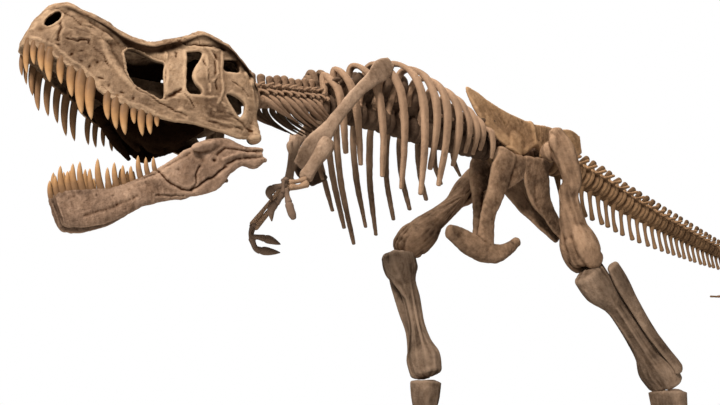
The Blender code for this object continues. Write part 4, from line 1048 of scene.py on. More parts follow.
def makeTrunk():
    rows = [[(l + r) / 2 for l, r in zip(a, b)] for a, b in zip(trunk["left"], trunk["right"])]
    places = distanceAt(np.array([row[0] for row in rows]))
    places = np.append(places, distanceAt(-0.505))
    edges = np.concatenate([[distanceAt(column["trunkStart"])], (places[1:] + places[:-1]) / 2,
                            [distanceAt(column["sacrumStart"])]])
    longs = np.diff(edges)
    centres = (edges[1:] + edges[:-1]) / 2
    rise = np.array([row[3] for row in rows] + [0.24])
    template = trunkTemplate(0.15, 0.20, 0.175)
    points = template[0]
    spine = rise - 0.01
    spine[:4] -= (0.05, 0.055, 0.05, 0.03)
    spine[4:10] += 0.04
    spine[-3:] = (0.21, 0.225, 0.24)
    z = points[:, 2][None]
    high = np.where(z > 0.12, 0.12 + (z - 0.12) * ((spine[:, None] - 0.12) / 0.08), z)
    local = np.stack([points[:, 0][None] * (longs / 0.155)[:, None], np.broadcast_to(points[:, 1], high.shape),
                      high], -1)
    # the vertebrae take the dark trunk finish, painted shade inside the rib cage
    showPiece("trunkVertebrae", copiesAlong(template, centres, local), ["ribcage_left", "ribcage_right"], finish["shadedTrunk"])
    for name, way in (("left", -1), ("right", 1)):
        parts = []
        for k, (x, tip, half, rise) in enumerate(trunk[name]):
            c, a, s, u = columnAt(distanceAt(x))
            o = -way * s
            drop = c[2] - tip
            sweep = trunk["sweep"] * half * a
            tip = trunk["tipBack"][way] * a
            path = [c + 0.060 * o - sweep, c + 0.42 * half * o + (rise - 0.02) * u - 0.7 * sweep,
                    c + 0.80 * half * o + (rise - 0.08) * u - 0.2 * sweep, c + half * o + 0.04 * u + 0.3 * tip,
                    c + 0.96 * half * o - 0.45 * drop * u + 0.6 * tip, c + 0.74 * half * o - drop * u + tip]
            line = smoothPath(path, 46)
            sway = 0.006 * np.sin(np.linspace(0, 5, 46) + 1.9 * k)[:, None] * a
            big = (1.0 if drop > 0.3 else 0.85) * (1.0 if way < 0 else 0.86)
            parts.append(tube(line + sway, tuple(big * v for v in (0.024, 0.023, 0.024, 0.024, 0.022,
                                                                     0.019, 0.015)),
                              tuple(big * v for v in (0.024, 0.030, 0.038, 0.040, 0.037, 0.032, 0.021)),
                              around=20, along=96, up=a, square=2.9, turn=0.25))
            knob = c + 0.36 * half * o + (rise - 0.045) * u - 0.7 * sweep
            inner = c + 0.10 * o + 0.14 * u - 0.5 * sweep
            parts.append(tube([knob, 0.5 * (knob + inner) + 0.01 * u, inner], (0.016, 0.013, 0.018),
                              (0.018, 0.015, 0.022), around=14, along=16, up=a))
            parts.append(lump(c + 0.070 * o + 0.01 * u - sweep, (0.030, 0.030, 0.026), o, a))
        ribs = joined(parts)
        ribs = roughened(ribs, 0.0028, 0.0016, 25 + way)
        # the far-side ribs take the darker copy of the rib finish as painted shade
        showPiece("ribs" + name.capitalize(), ribs, ["ribcage_" + name], finish["rib" if way < 0 else "dim"])


hips = {
    # along each blade: x, top, bottom, distance from the middle plane, half thickness
    "blade": [(-0.84, 3.545, 3.495, 0.17, 0.012), (-0.74, 3.53, 3.33, 0.17, 0.022),
              (-0.55, 3.46, 3.16, 0.17, 0.026), (-0.34, 3.40, 3.03, 0.18, 0.034),
              (-0.16, 3.37, 2.99, 0.19, 0.045), (0.03, 3.35, 3.10, 0.19, 0.045),
              (0.20, 3.37, 3.01, 0.19, 0.042), (0.42, 3.39, 3.05, 0.17, 0.032),
              (0.64, 3.43, 3.12, 0.16, 0.028), (0.78, 3.40, 3.20, 0.15, 0.02)],
    "cell": 0.0095,
}


def makeHips():
    start, end = distanceAt(column["sacrumStart"]), distanceAt(column["tailStart"])
    edges = np.linspace(start, end, 6)
    centres = (edges[1:] + edges[:-1]) / 2
    long = edges[1] - edges[0]
    r = 0.085
    middle = []
    ribsOut = []
    for k in range(5):
        x = (k - 2) * long
        middle += [
            tube([(x - 0.5 * long, 0, 0), (x - 0.4 * long, 0, 0), (x, 0, 0), (x + 0.4 * long, 0, 0),
                  (x + 0.5 * long, 0, 0)], (r, r, r * 0.78, r, r), (r * 1.05,) * 5, around=28, blunt=0.15),
            tube([(x, 0, 0.08), (x + 0.005, 0, 0.17), (x + 0.01, 0, 0.25)], (0.024, 0.015, 0.018),
                 (0.06, 0.062, 0.072), up=(1, 0, 0), square=3),
        ]
        ribsOut.append(tube([(x, 0.05, 0.02), (x, 0.10, 0.05), (x, 0.142, 0.09)], (0.030, 0.024, 0.034),
                            (0.036, 0.034, 0.05), up=(0, 0, 1)))
    c, a, s, u = columnAt(float(centres[2]))
    bone = roughened(fused(middle + mirrored(ribsOut), 0.009, 3), 0.004, 0.003, 41)
    showPiece("sacrumBone", moved(bone, c, np.array([a, s, u])), ["sacrum"], finish["spine"])

    table = np.asarray(hips["blade"])
    for name, way in (("left", -1), ("right", 1)):
        x = np.linspace(-0.84, 0.78, 110)
        rows = [readPairs([(t[0], t[k]) for t in table], x) for k in (1, 2, 3, 4)]
        top, low, off, thick = rows
        y, z = ovalRound(np.arange(48) * 2 * math.pi / 48, 2.2, 2.8)
        height = 0.5 * (z + 1)
        # thick along the lower rim, thin in the middle of the blade, a thin lip on top
        body = 0.60 + 0.62 * (1 - softStep(height, 0.0, 0.34)) + 0.22 * softStep(height, 0.86, 1.0)
        rings = np.stack([np.broadcast_to(x[:, None], (110, 48)),
                          way * (off[:, None] + thick[:, None] * y * body),
                          low[:, None] + (top - low)[:, None] * height], -1)
        parts = [closedGrid(rings),
                 tube([(-0.19, way * 0.18, 3.30), (-0.24, way * 0.183, 3.08), (-0.27, way * 0.18, 3.0)],
                      (0.06, 0.12, 0.10), (0.006, 0.046, 0.052), up=(0, 1, 0), blunt=0.4),
                 tube([(0.16, way * 0.18, 3.24), (0.18, way * 0.19, 3.08), (0.17, way * 0.19, 3.01)],
                      (0.08, 0.10, 0.085), (0.020, 0.046, 0.050), up=(0, 1, 0), blunt=0.4)]
        bone = fused(parts, 0.0085, 12)
        p = bone[0]
        normals = normalsOf(bone)
        flat = p[:, [0, 2]]
        out = softStep(way * normals[:, 1], 0.0, 0.6)
        push = 0.018 * alongPath(flat, [(0.0, 3.15), (-0.01, 3.26), (-0.03, 3.34)], 0.035) * out
        push += 0.007 * alongPath(flat, [(-0.70, 3.36), (-0.5, 3.20), (-0.33, 3.08)], 0.03) * out
        push -= 0.010 * alongPath(flat, [(-0.36, 3.26), (-0.2, 3.24)], 0.07) * out
        push -= 0.010 * alongPath(flat, [(0.22, 3.24), (0.5, 3.27)], 0.07) * out
        fan = np.arctan2(flat[:, 1] - 2.75, flat[:, 0])
        push += 0.0016 * latticeNoise(np.column_stack([fan * 9, p[:, 1] * 0, flat[:, 1] * 1.2]), 0.22, 61) * softStep(
            flat[:, 1], 3.12, 3.3)
        push += 0.004 * layeredNoise(p, 0.13, 62) + 0.0014 * layeredNoise(p, 0.03, 63)
        showPiece("ilium" + name.capitalize(), pushed(bone, push),
                  ["ilium_" + name], finish["pale"])

    boot = [(-0.96, 0, 2.155), (-0.86, 0, 2.125), (-0.68, 0, 2.05), (-0.45, 0, 2.01), (-0.25, 0, 2.08),
            (-0.12, 0, 2.165)]
    shafts = []
    for way in (-1, 1):
        shafts.append(tube([(-0.25, 0.178 * way, 2.955), (-0.25, 0.165 * way, 2.83),
                            (-0.34, 0.12 * way, 2.66)], (0.135, 0.12, 0.05), (0.036, 0.030, 0.022),
                           up=(0, 1, 0), around=22, along=26, square=2.4))
        shafts.append(tube([(-0.36, 0.175 * way, 2.965), (-0.40, 0.165 * way, 2.86),
                            (-0.46, 0.11 * way, 2.60), (-0.53, 0.05 * way, 2.35),
                            (-0.56, 0.028 * way, 2.08)], (0.128, 0.125, 0.098, 0.088, 0.098),
                           (0.055, 0.045, 0.042, 0.038, 0.042), up=(0, 1, 0), around=26, along=50,
                           square=2.3))
    web = tube([(-0.44, 0, 2.62), (-0.50, 0, 2.42), (-0.55, 0, 2.15)], (0.03, 0.035, 0.05),
               (0.10, 0.05, 0.03), up=(0, 1, 0))
    bone = fused([tube(boot, (0.045, 0.074, 0.078, 0.076, 0.064, 0.038),
                       (0.066, 0.098, 0.108, 0.094, 0.064, 0.044), around=30, along=60, square=2.3,
                       blunt=0.8), web] + shafts, hips["cell"], 4)
    bone = roughened(bone, 0.006, 0.003, 71)
    showPiece("pubisBone", bone, ["pubis"], finish["body"])
    for name, way in (("left", -1), ("right", 1)):
        rod = [(0.10, 0.185 * way, 2.975), (0.10, 0.17 * way, 2.85), (0.16, 0.12 * way, 2.62),
               (0.34, 0.065 * way, 2.44), (0.52, 0.045 * way, 2.28)]
        plate = [(0.0, 0.18 * way, 2.96), (-0.01, 0.16 * way, 2.82), (0.09, 0.10 * way, 2.60),
                 (0.24, 0.075 * way, 2.46)]
        bone = fused([tube(rod, (0.12, 0.118, 0.115, 0.098, 0.06), (0.044, 0.036, 0.028, 0.024, 0.026),
                           up=(0, 1, 0), around=26, along=50),
                      tube(plate, (0.135, 0.125, 0.09, 0.05), (0.040, 0.030, 0.024, 0.02), up=(0, 1, 0),
                           around=24, along=30, square=2.4)],
                     0.0085, 4)
        bone = roughened(bone, 0.005, 0.0028, 75 + way)
        showPiece("ischium" + name.capitalize(), bone, ["ischium_" + name], finish["body"])


def makeTail():
    start = float(distanceAt(column["tailStart"]))
    length = float(columnRun[-1]) - start
    count = column["tailBones"]
    shares = (np.arange(count) + 0.5) / count
    long = length / count
    radii = np.interp(shares, np.linspace(0, 1, len(column["tailRadius"])), column["tailRadius"])
    r = 0.1
    body = tube([(-0.5, 0, 0), (-0.44, 0, 0), (0, 0, 0), (0.42, 0, 0), (0.5, 0, 0)],
                (1.02, 1.07, 0.84, 1.07, 1.02), (1.02, 1.07, 0.88, 1.07, 1.02), around=30, along=24, blunt=0.05)
    body = (body[0] * (long, r, r), body[1], body[2])
    middle = [body, tube([(-0.4 * long, 0, 0.085), (0.42 * long, 0, 0.10)], (0.030, 0.026), (0.040, 0.036),
                                  along=12)]
    sides = [tube([(0, 0.05, 0.02), (0.008, 0.12, 0.03), (0.016, 0.19, 0.035)], (0.036, 0.026, 0.020),
                  (0.016, 0.012, 0.010)),
             tube([(0.2 * long, 0.015, 0.10), (0.5 * long, 0.024, 0.125)], (0.013, 0.012), (0.022, 0.016)),
             tube([(-0.2 * long, 0.02, 0.09), (-0.55 * long, 0.032, 0.10)], (0.013, 0.012), (0.022, 0.018))]
    near = roughened(fused(middle + mirrored(sides), 0.0085, 2),
                     0.002, 0.0012, 81)
    far = fused(middle + mirrored(sides[1:]), 0.013, 2)
    per = count // 4
    for part in range(4):
        pick = np.arange(part * per, (part + 1) * per)
        size = radii[pick] / r
        size = size * (1 + 0.20 * np.clip(1 - 2.2 * shares[pick], 0, 1))
        wide = size * (1 + 0.04 * np.sin(pick * 1.7))
        template = near if part < 2 else far
        scales = np.column_stack([np.full(per, 0.97), wide, size])
        if part > 0:
            scales[:, 1] *= 0.9
        parts = [copiesAlong(template, start + length * shares[pick], template[0] * scales[:, None])]
        shade = [np.zeros(len(parts[0][0]))]
        for k in pick:
            share = shares[k]
            left = 1 - share
            c, a, s, u = columnAt(start + length * share)
            rr = radii[k]
            spine = 0.125 * left ** 0.8 + 0.025
            chevron = 0.36 * left ** 1.1
            lean = 0.012 * math.sin(k * 2.9)
            if share < column["lastSpine"]:
                w = 0.013 + 0.013 * left
                rise = [c + 0.7 * rr * u, c + (rr + 0.45 * spine) * u + 0.28 * spine * a,
                        c + (rr + spine) * u + (0.75 * spine + lean) * a]
                parts.append(tube(rise, (w, 0.75 * w, 1.15 * w), (2.1 * w, 1.35 * w, 1.5 * w), around=14,
                                  along=16, up=a, blunt=0.8))
                shade.append(np.full(len(parts[-1][0]), 0.5))
            if share < column["lastChevron"]:
                w = 0.012 + 0.011 * left
                hang = [c - 0.85 * rr * u + 0.45 * long * a, c - (rr + 0.3 * chevron) * u + 0.20 * chevron * a,
                        c - (rr + 0.7 * chevron) * u + 0.30 * chevron * a,
                        c - (rr + chevron) * u + (0.42 * chevron + lean) * a]
                parts.append(tube(hang, (1.9 * w, 0.95 * w, 0.85 * w, 1.1 * w),
                                  (1.7 * w, 1.1 * w, 1.05 * w, 1.5 * w), around=14, along=24, up=a,
                                  blunt=0.8))
                deep = 0.30 * max(0.0, 1 - 4 * share)
                fade = np.linspace(0, 1, len(parts[-1][0]))
                shade.append(np.interp(fade, (0, 0.5, 1), (0.5, 0.2 + deep, 0.1 + deep)))
        showPiece("tailBones%d" % (part + 1), joined(parts), ["tail_%d" % (part + 1)], finish["tail"],
                  np.concatenate(shade))


makeNeck()
makeTrunk()
makeHips()
makeTail()
print("column, ribs, hips and tail done")


arms = {
    "left": {
        "thin": 1.0, "flare": 1.0,
        "blade": [(-1.92, -0.46, 3.345), (-2.02, -0.50, 3.25), (-2.23, -0.53, 3.02), (-2.41, -0.53, 2.79),
                  (-2.53, -0.50, 2.60), (-2.63, -0.465, 2.43), (-2.69, -0.43, 2.31)],
        "humerus": [(-2.56, -0.575, 2.49), (-2.59, -0.58, 2.43), (-2.665, -0.585, 2.31), (-2.735, -0.585, 2.19)],
        "forearm": [(-2.74, -0.585, 2.155), (-2.79, -0.57, 2.13), (-2.84, -0.56, 2.12)],
        "palm": [(-2.885, -0.56, 2.135), (-2.885, -0.56, 2.095), (-2.885, -0.56, 2.06)],
        "fingers": [[(-2.88, -0.55, 2.11), (-2.94, -0.54, 2.09), (-2.98, -0.53, 2.05), (-2.955, -0.52, 2.00)],
                    [(-2.88, -0.55, 2.07), (-2.92, -0.54, 2.00), (-2.96, -0.53, 1.94), (-2.95, -0.52, 1.86)],
                    [(-2.875, -0.56, 2.075), (-2.86, -0.57, 2.01), (-2.845, -0.58, 1.94),
                     (-2.82, -0.58, 1.885)]],
    },
    "right": {
        "thin": 0.68, "flare": 1.22,
        "blade": [(-1.90, 0.46, 3.31), (-2.04, 0.47, 3.17), (-2.22, 0.42, 2.97), (-2.36, 0.32, 2.80),
                  (-2.40, 0.21, 2.65), (-2.33, 0.12, 2.50), (-2.27, 0.06, 2.41)],
        "humerus": [(-2.525, 0.03, 2.74), (-2.54, 0.0, 2.65), (-2.57, -0.03, 2.48), (-2.60, -0.05, 2.33)],
        "forearm": [(-2.62, -0.065, 2.285), (-2.72, -0.11, 2.16), (-2.85, -0.17, 2.01), (-2.935, -0.20, 1.90)],
        "palm": [(-2.945, -0.205, 1.885), (-2.955, -0.205, 1.84), (-2.945, -0.205, 1.795)],
        "fingers": [[(-2.955, -0.205, 1.81), (-2.905, -0.22, 1.815), (-2.84, -0.25, 1.80),
                     (-2.765, -0.28, 1.77)],
                    [(-2.95, -0.205, 1.80), (-2.91, -0.20, 1.735), (-2.84, -0.23, 1.72),
                     (-2.755, -0.26, 1.715)]],
    },
}


def makeArm(name):
    arm = arms[name]
    flare = arm["flare"]
    blade = tube(arm["blade"], (0.05, 0.088, 0.058, 0.050, 0.048, 0.046, 0.060, 0.096 * flare, 0.074 * flare),
                 (0.012, 0.018, 0.018, 0.020, 0.026, 0.034, 0.030, 0.024, 0.016), up=(0, 1, 0),
                 around=36, along=90, square=2.3, blunt=1.0)
    bone = fused([blade], 0.007, 2)
    bone = roughened(bone, 0.004, 0.0022, 91)
    p = bone[0]
    socket = np.asarray(arm["humerus"][0]) + np.array((-0.04, 0, 0.02))
    press = 0.018 * np.exp(-((p - socket) ** 2).sum(1) / 0.045 ** 2)
    low = arm["blade"][4][2]
    shade = (0.30 if name == "left" else 0.5) * softStep(p[:, 2], low - 0.05, low - 0.16) + (
        0.0 if name == "left" else 0.3)
    showPiece("shoulder" + name.capitalize(), pushed(bone, -press),
              ["shoulder_" + name], finish["grey"], shade)
    line = smoothPath(arm["humerus"], 9)
    down = unit(line[-1] - line[0])
    thin = arm["thin"]
    bone = fused([
        tube(line, tuple(thin * w for w in (0.058, 0.066, 0.058, 0.050, 0.047, 0.048, 0.054)),
             tuple(thin * w for w in (0.030, 0.047, 0.043, 0.038, 0.034, 0.034, 0.036)),
             up=(0, 1, 0), around=24, along=50),
        lump(line[0] + 0.02 * down, (0.032, 0.052 * thin, 0.040 * thin), down, (1, 0, 0)),
        tube([line[1], line[2] + np.array((-0.045, -0.01, 0)), line[4]], (0.014, 0.020, 0.012),
             (0.02, 0.030, 0.012), up=(0, 1, 0)),
        lump(line[-1] + np.array((0.026, 0, 0.004)), (0.024, 0.022, 0.024)),
        lump(line[-1] - np.array((0.026, 0, -0.004)), (0.024, 0.022, 0.024)),
    ], 0.0052, 3)
    bone = roughened(bone, 0.0026, 0.0018, 93, down)
    showPiece("humerus" + name.capitalize(), bone, ["humerus_" + name], finish["grey"])
    line = smoothPath(arm["forearm"], 7)
    down = unit(line[-1] - line[0])
    across = unit(np.cross(down, (0, 1, 0)))
    pieces = []
    for turn, radius in ((1, 0.021), (-1, 0.017)):
        shift = turn * 0.018 * across
        pieces.append(tube([line[0] + shift, line[3] + 1.1 * shift, line[-1] + 0.9 * shift],
                           (radius * 1.35, radius * 0.82, radius * 1.15),
                           (radius * 1.5, radius, radius * 1.25), up=(0, 1, 0), around=18, along=34))
    pieces = joined(pieces)
    pieces = roughened(pieces, 0.0018, 0.0005, 95, down, 3.0)
    showPiece("forearm" + name.capitalize(), pieces, ["forearm_" + name], finish["body"])
    palm = np.asarray(arm["palm"])
    parts = [lump(palm[0] + np.array((0.0, d, 0.012)), (0.020, 0.016, 0.014)) for d in (-0.014, 0.014)]
    parts += [tube(palm + np.array((d, e, 0)), (0.015, 0.011, 0.016), (0.014, 0.011, 0.015), up=(0, 1, 0), around=16,
                   along=20) for d, e in ((-0.012, -0.006), (0.012, 0.006))]
    for finger in arm["fingers"]:
        line = smoothPath(finger, 30)
        parts.append(tube(line[:13], (0.024, 0.0185, 0.025), (0.022, 0.017, 0.023), up=(0, 1, 0), around=16,
                          along=18))
        # the last one ends in a blunt stump where it bears no claw
        end = (0.029, 0.028, 0.020) if finger is arm["fingers"][-1] and name == "left" else (0.023, 0.015, 0.004)
        widths = (0.020, 0.030, 0.029) + end
        parts.append(tube(line[12:], widths, tuple(0.76 * w for w in widths),
                          up=(0, 1, 0), around=18, along=30))
    hand = joined(parts)
    showPiece("hand" + name.capitalize(), roughened(hand, 0.0008, 0.0003, 97), ["hand_" + name],
              finish["hand"])


legs = {
    "left": {"way": -1, "hip": (0.03, -0.36, 3.0), "knee": (0.28, -0.44, 2.0), "ankle": (1.085, -0.60, 0.84),
             "foot": (1.05, -0.62, 0.215), "thighAhead": 0.01, "fibulaBack": 0.05, "kneeGap": 0.20,
             "shinAhead": 0.125, "knobAhead": 0.01, "knobDrop": 0.02, "spread": 1.2, "slim": 1.0},
    "right": {"way": 1, "hip": (0.0, 0.36, 3.0), "knee": (-0.97, 0.70, 2.15), "ankle": (-0.94, 0.42, 0.925),
              "foot": (-1.02, 0.40, 0.215), "thighAhead": -0.03, "fibulaBack": 0.0, "kneeGap": 0.165,
              "shinAhead": 0.115, "knobAhead": -0.03, "knobDrop": -0.08, "spread": 1.0, "slim": 0.8},
    "cell": 0.0105, "floor": 0.1004,
}


def legAxes(upper, lower, way):
    down = unit(np.subtract(lower, upper))
    fore = unit(np.array((-1.0, 0.0, 0.0)) + down[0] * down)
    out = np.cross(down, fore)
    return down, fore, out * way * (1 if out[1] > 0 else -1)


def furrows(p, down, fore, out, seed):
    # noise that changes quickly with the angle round the bone and slowly along it
    return latticeNoise(np.column_stack([np.arctan2(p @ out, p @ fore) * 1.6, p @ down * 0.5, np.zeros(len(p))]),
                        0.34, seed)


def makeLeg(name):
    leg = legs[name]
    way = leg["way"]
    title = name.capitalize()
    hip, knee, ankle, foot = (np.array(leg[k], float) for k in ("hip", "knee", "ankle", "foot"))
    down, fore, out = legAxes(hip, knee, way)
    top = hip + 0.14 * out - 0.15 * down
    shaft = [top, hip + 0.15 * out + 0.30 * down, hip + 0.45 * (knee - hip) + 0.06 * out + leg["thighAhead"] * fore,
             knee - 0.30 * down, knee - 0.10 * down, knee + 0.01 * down]
    parts = [
        tube(shaft, (0.07, 0.118, 0.102, 0.096, 0.098, 0.120, 0.13, 0.08), (0.06, 0.105, 0.098, 0.09, 0.092, 0.115,
                                                                            0.13, 0.08),
             up=fore, around=40, along=90),
        lump(hip + 0.015 * out, (0.098, 0.094, 0.098), out, down, around=28, along=18),
        tube([hip + 0.03 * out, hip + 0.12 * out + 0.05 * down], (0.075, 0.09), (0.07, 0.08), up=down, along=12),
        # the fin in front of the upper end, and the crest halfway down the back
        tube([top + 0.03 * fore + 0.03 * down, top + 0.085 * fore + 0.10 * down, top + 0.075 * fore + 0.24 * down],
             (0.035, 0.04, 0.025), (0.03, 0.04, 0.02), up=out),
        tube([hip + 0.28 * down + 0.07 * out - 0.09 * fore, hip + 0.38 * down + 0.05 * out - 0.115 * fore,
              hip + 0.50 * down + 0.04 * out - 0.09 * fore], (0.022, 0.026, 0.018), (0.02, 0.03, 0.02), up=out),
    ]
    knob = knee + leg["knobAhead"] * fore + leg["knobDrop"] * down
    for turn in (-1, 1):
        centre = knob + 0.088 * turn * out
        # a roller that grows out of the shaft
        parts.append(tube([centre - 0.32 * down - 0.04 * turn * out, centre - 0.16 * down - 0.012 * turn * out,
                           centre + 0.0 * down - 0.01 * fore, centre + 0.05 * down - 0.055 * fore],
                          (0.06, 0.088, 0.092, 0.075), (0.09, 0.128, 0.142, 0.10), up=fore, around=30, along=40))
    parts.append(tube([knob - 0.16 * down + 0.02 * fore, knob + 0.02 * down + 0.02 * fore], (0.12, 0.11),
                      (0.12, 0.12), up=fore, along=14))
    bone = fused(parts, legs["cell"], 12)
    p = bone[0]
    near = softStep((p - knob) @ down, -0.20, 0.02)
    groove = np.exp(-(((p - knob) @ out) / 0.030) ** 2) * near
    furrow = furrows(p - knee, down, fore, out, 57) * softStep((p - knee) @ down, -0.10, -0.35)
    bone = pushed(bone, 0.0045 * furrow - 0.013 * groove)
    bone = roughened(bone, 0.0065, 0.0035, 101 + way, down, 4.0)
    showPiece("femur" + title, bone, ["femur_" + name], finish["body"])

    down, fore, out = legAxes(knee, ankle, way)
    start = knee + leg["kneeGap"] * down
    ahead = leg["shinAhead"] * fore
    slim = leg["slim"]
    shaft = [start + 0.62 * ahead - 0.042 * down, start + 0.12 * down + 0.55 * ahead,
             start + 0.34 * down + 0.06 * ahead, knee + 0.55 * (ankle - knee), ankle - 0.22 * down, ankle - 0.06 * down, ankle - 0.02 * down]
    parts = [
        tube(shaft, (0.120, 0.120, 0.094 * slim, 0.084 * slim, 0.082 * slim, 0.086 * slim, 0.104, 0.172, 0.165),
             (0.175, 0.170, 0.122 * slim, 0.098 * slim, 0.090 * slim, 0.086 * slim, 0.090, 0.122, 0.11),
             up=fore, around=40, along=90, square=2.4, blunt=0.42),
        # the crest in front of the upper end
        tube([start + 0.03 * down + ahead + 0.09 * fore, start + 0.13 * down + ahead + 0.06 * fore,
              start + 0.36 * down + 0.06 * fore], (0.03, 0.034, 0.02), (0.045, 0.05, 0.03), up=fore, blunt=0.4),
        # the tongue in front of the shin
        tube([ankle - 0.02 * down + 0.075 * fore, ankle - 0.17 * down + 0.06 * fore,
              ankle - 0.32 * down + 0.045 * fore], (0.10, 0.062, 0.022), (0.032, 0.022, 0.014), up=fore),
    ]
    bone = fused(parts, 0.0095, 10)
    p = bone[0]
    groove = np.exp(-(((p - ankle) @ out) / 0.030) ** 2) * softStep((p - ankle) @ down, -0.05, 0.04)
    furrow = furrows(p - knee, down, fore, out, 58)
    bone = pushed(bone, 0.006 * furrow - 0.012 * groove)
    bone = roughened(bone, 0.005, 0.003, 111 + way, down, 5.0)
    showPiece("tibia" + title, bone, ["tibia_" + name], finish["shin"])
    back = leg["fibulaBack"]
    rod = [start + 0.17 * out - back * fore + 0.01 * down, start + 0.16 * out - back * fore + 0.15 * down,
           start + 0.14 * out - back * fore + 0.42 * down,
           knee + 0.66 * (ankle - knee) + 0.14 * out - 0.04 * fore,
           ankle - 0.17 * down + 0.185 * out - 0.03 * fore, ankle - 0.11 * down + 0.178 * out - 0.025 * fore]
    bone = fused([
        tube(rod, (0.040, 0.046, 0.040, 0.034, 0.031, 0.029, 0.028, 0.032),
             (0.085, 0.100, 0.090, 0.080, 0.074, 0.068, 0.062, 0.064), up=fore, around=24, along=90,
             blunt=0.8),
    ], 0.007, 3)
    bone = roughened(bone, 0.0035, 0.002, 121 + way, down, 5.0)
    showPiece("fibula" + title, bone, ["fibula_" + name], finish["shin"])

    down, fore, out = legAxes(ankle, foot, way)
    top = ankle + 0.085 * down
    wide = leg["spread"]
    parts = []
    for spread, size, pinch in ((0.0, 1.0, 0.6), (-1.0, 0.86, 1.0), (1.0, 0.9, 1.0)):
        line = [top + 0.075 * wide * spread * out, top + 0.5 * (foot - top) + 0.07 * wide * spread * out,
                foot + 0.105 * spread * out - 0.03 * abs(spread) * fore - 0.01 * down]
        parts.append(tube(line, (0.066 * size * pinch * wide, 0.048 * size * pinch * wide, 0.045 * size * wide,
                                 0.046 * size, 0.060 * size),
                          (0.10 * size, 0.074 * size, 0.062 * size, 0.060 * size, 0.072 * size), up=fore, around=28,
                          along=60))
        for turn in (-1, 1):
            parts.append(lump(line[-1] + 0.028 * turn * out * size + 0.012 * down, (0.045 * size, 0.024 * size,
                                                                                      0.055 * size), down, out))
    parts.append(tube([top - 0.018 * down, top + 0.09 * down, top + 0.24 * down],
                      (0.140 * wide, 0.132 * wide, 0.11 * wide), (0.105, 0.092, 0.06), up=fore, around=36,
                      square=3.2, blunt=0.16))
    bone = fused(parts, 0.0085, 3)
    bone = roughened(bone, 0.0045, 0.0026, 131 + way, down, 5.0)
    showPiece("metatarsals" + title, bone, ["metatarsus_" + name], finish["shin"])

    for number, spread, length, bones in ((2, -0.42, 0.50, 2), (3, 0.0, 0.60, 3), (4, 0.42, 0.48, 4)):
        heading = np.array((-math.cos(spread), way * math.sin(spread), 0.0))
        base = np.array((foot[0], foot[1] + 0.12 * np.sign(spread) * way, legs["floor"]))
        rise = np.array((0.0, 0.0, 1.0))
        parts = []
        joints = np.linspace(-0.06, 0.76, bones + 1)
        for k in range(bones):
            size = 1 - 0.10 * k
            near, far = joints[k] * length + 0.02, joints[k + 1] * length + 0.02
            high = 0.052 * size
            parts.append(tube([base + near * heading + high * rise, base + 0.5 * (near + far) * heading
                               + 0.92 * high * rise, base + far * heading + 0.92 * high * rise],
                              (0.046 * size, 0.030 * size, 0.040 * size), (0.046 * size, 0.032 * size, 0.040 * size),
                              around=24, along=26, blunt=0.55, square=2.2))
            parts.append(lump(base + far * heading + 0.045 * size * rise,
                              (0.034 * size, 0.044 * size, 0.042 * size), heading, np.cross(rise, heading)))
        claw = [base + (0.77 * length + 0.02) * heading + 0.048 * rise,
                base + (0.90 * length + 0.02) * heading + 0.044 * rise,
                base + (1.02 * length + 0.02) * heading + 0.010 * rise]
        parts.append(tube(claw, (0.030, 0.030, 0.020, 0.006), (0.036, 0.034, 0.020, 0.006), around=22, along=26))
        toe = joined(parts)
        toe = roughened(toe, 0.0025, 0.0016, 141 + number)
        toe[0][:, 2] = np.maximum(toe[0][:, 2], legs["floor"])
        showPiece("toe%d%s" % (number, title), toe, ["toe_%d_%s" % (number, name)], finish["shin"])


makeArm("left")
makeArm("right")
makeLeg("left")
makeLeg("right")
print("limbs done")


def standFinish():
    # dark matt board: faint mottling and a fine orange-peel surface
    made, nodes, links, shader = newMaterial("standPaint")
    where = nodes.new("ShaderNodeTexCoord")
    noise = nodes.new("ShaderNodeTexNoise")
    noise.inputs["Scale"].default_value = 4
    noise.inputs["Detail"].default_value = 6
    fine = nodes.new("ShaderNodeTexNoise")
    fine.inputs["Scale"].default_value = 220
    fine.inputs["Detail"].default_value = 2
    for n in (noise, fine):
        links.new(where.outputs["Object"], n.inputs["Vector"])
    ramp = nodes.new("ShaderNodeValToRGB")
    ramp.color_ramp.elements[0].position = 0.35
    ramp.color_ramp.elements[0].color = (0.030, 0.030, 0.032, 1)
    ramp.color_ramp.elements[1].position = 0.68
    ramp.color_ramp.elements[1].color = (0.048, 0.047, 0.047, 1)
    links.new(noise.outputs["Fac"], ramp.inputs["Fac"])
    links.new(ramp.outputs["Color"], shader.inputs["Base Color"])
    rough = nodes.new("ShaderNodeMapRange")
    rough.inputs["To Min"].default_value = 0.42
    rough.inputs["To Max"].default_value = 0.6
    links.new(noise.outputs["Fac"], rough.inputs["Value"])
    links.new(rough.outputs["Result"], shader.inputs["Roughness"])
    bump = nodes.new("ShaderNodeBump")
    bump.inputs["Strength"].default_value = 0.25
    bump.inputs["Distance"].default_value = 0.001
    links.new(fine.outputs["Fac"], bump.inputs["Height"])
    links.new(bump.outputs["Normal"], shader.inputs["Normal"])
    return made


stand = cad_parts["stand_base"]
for place in range(len(stand.material_slots)):
    stand.material_slots[place].material = standFinish()
if not stand.material_slots:
    stand.data.materials.append(standFinish())


def makeFloor():
    half = 24.0
    flat = bpy.data.meshes.new("floorSheet")
    flat.from_pydata([(-half, -half, 0), (half, -half, 0), (half, half, 0), (-half, half, 0)], [], [(0, 1, 2, 3)])
    floor = bpy.data.objects.new("floorSheet", flat)
    bpy.context.scene.collection.objects.link(floor)
    made, nodes, links, shader = newMaterial("paleFloor")
    shader.inputs["Base Color"].default_value = (0.62, 0.62, 0.615, 1)
    shader.inputs["Roughness"].default_value = 0.85
    flat.materials.append(made)


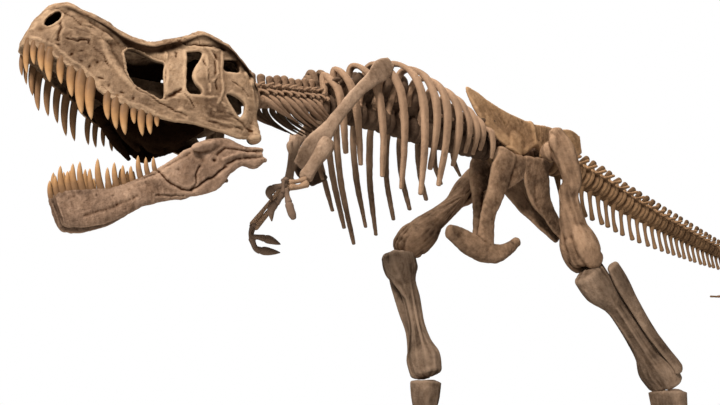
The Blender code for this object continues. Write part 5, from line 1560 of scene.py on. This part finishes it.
def makeLight(name, kind, place, target, power, size, colour=(1, 1, 1)):
    data = bpy.data.lights.new(name, kind)
    data.energy = power
    data.color = colour
    if kind == "AREA":
        data.shape = "DISK"
        data.size = size
    made = bpy.data.objects.new(name, data)
    bpy.context.scene.collection.objects.link(made)
    made.location = place
    made.rotation_euler = (Vector(target) - Vector(place)).to_track_quat("-Z", "Y").to_euler()


def makeWorld():
    # the backdrop is seen as white, and gives a weaker pale light
    world = bpy.data.worlds.new("studioWhite")
    bpy.context.scene.world = world
    world.use_nodes = True
    nodes, links = world.node_tree.nodes, world.node_tree.links
    seen = nodes["Background"]
    seen.inputs["Color"].default_value = (1, 1, 1, 1)
    seen.inputs["Strength"].default_value = 1.0
    dim = nodes.new("ShaderNodeBackground")
    dim.inputs["Color"].default_value = (1.0, 0.98, 0.95, 1)
    dim.inputs["Strength"].default_value = 0.085
    way = nodes.new("ShaderNodeLightPath")
    blend = nodes.new("ShaderNodeMixShader")
    links.new(way.outputs["Is Camera Ray"], blend.inputs["Fac"])
    links.new(dim.outputs["Background"], blend.inputs[1])
    links.new(seen.outputs["Background"], blend.inputs[2])
    links.new(blend.outputs["Shader"], nodes["World Output"].inputs["Surface"])


cameraSetup = {"place": (-4.762, -4.381, 0.768), "yaw": 0.576, "pitch": 0.281, "lens": 33.0, "sensor": 36.0}


def makeCamera():
    yaw, pitch = cameraSetup["yaw"], cameraSetup["pitch"]
    ahead = np.array((math.sin(yaw) * math.cos(pitch), math.cos(yaw) * math.cos(pitch), math.sin(pitch)))
    right = np.array((math.cos(yaw), -math.sin(yaw), 0.0))
    up = np.cross(right, ahead)
    data = bpy.data.cameras.new("mainCamera")
    data.lens = cameraSetup["lens"]
    data.sensor_width = cameraSetup["sensor"]
    data.clip_end = 200
    made = bpy.data.objects.new("mainCamera", data)
    bpy.context.scene.collection.objects.link(made)
    turn = Matrix([list(row) for row in np.column_stack([right, up, -ahead])]).to_4x4()
    made.matrix_world = Matrix.Translation(cameraSetup["place"]) @ turn
    bpy.context.scene.camera = made


makeFloor()
makeWorld()
makeLight("keyLight", "AREA", (-9.5, -6.4, 8.3), (-1.5, 0, 2.2), 2050, 2.2, (1.0, 0.97, 0.93))
makeLight("topLight", "AREA", (-1.0, 0.5, 10.5), (-1.0, 0, 2.0), 900, 5.0)
makeCamera()
bpy.context.scene.view_settings.view_transform = "Standard"
print("floor, lights and camera ready;", pieceCount[0], "triangles in new pieces")
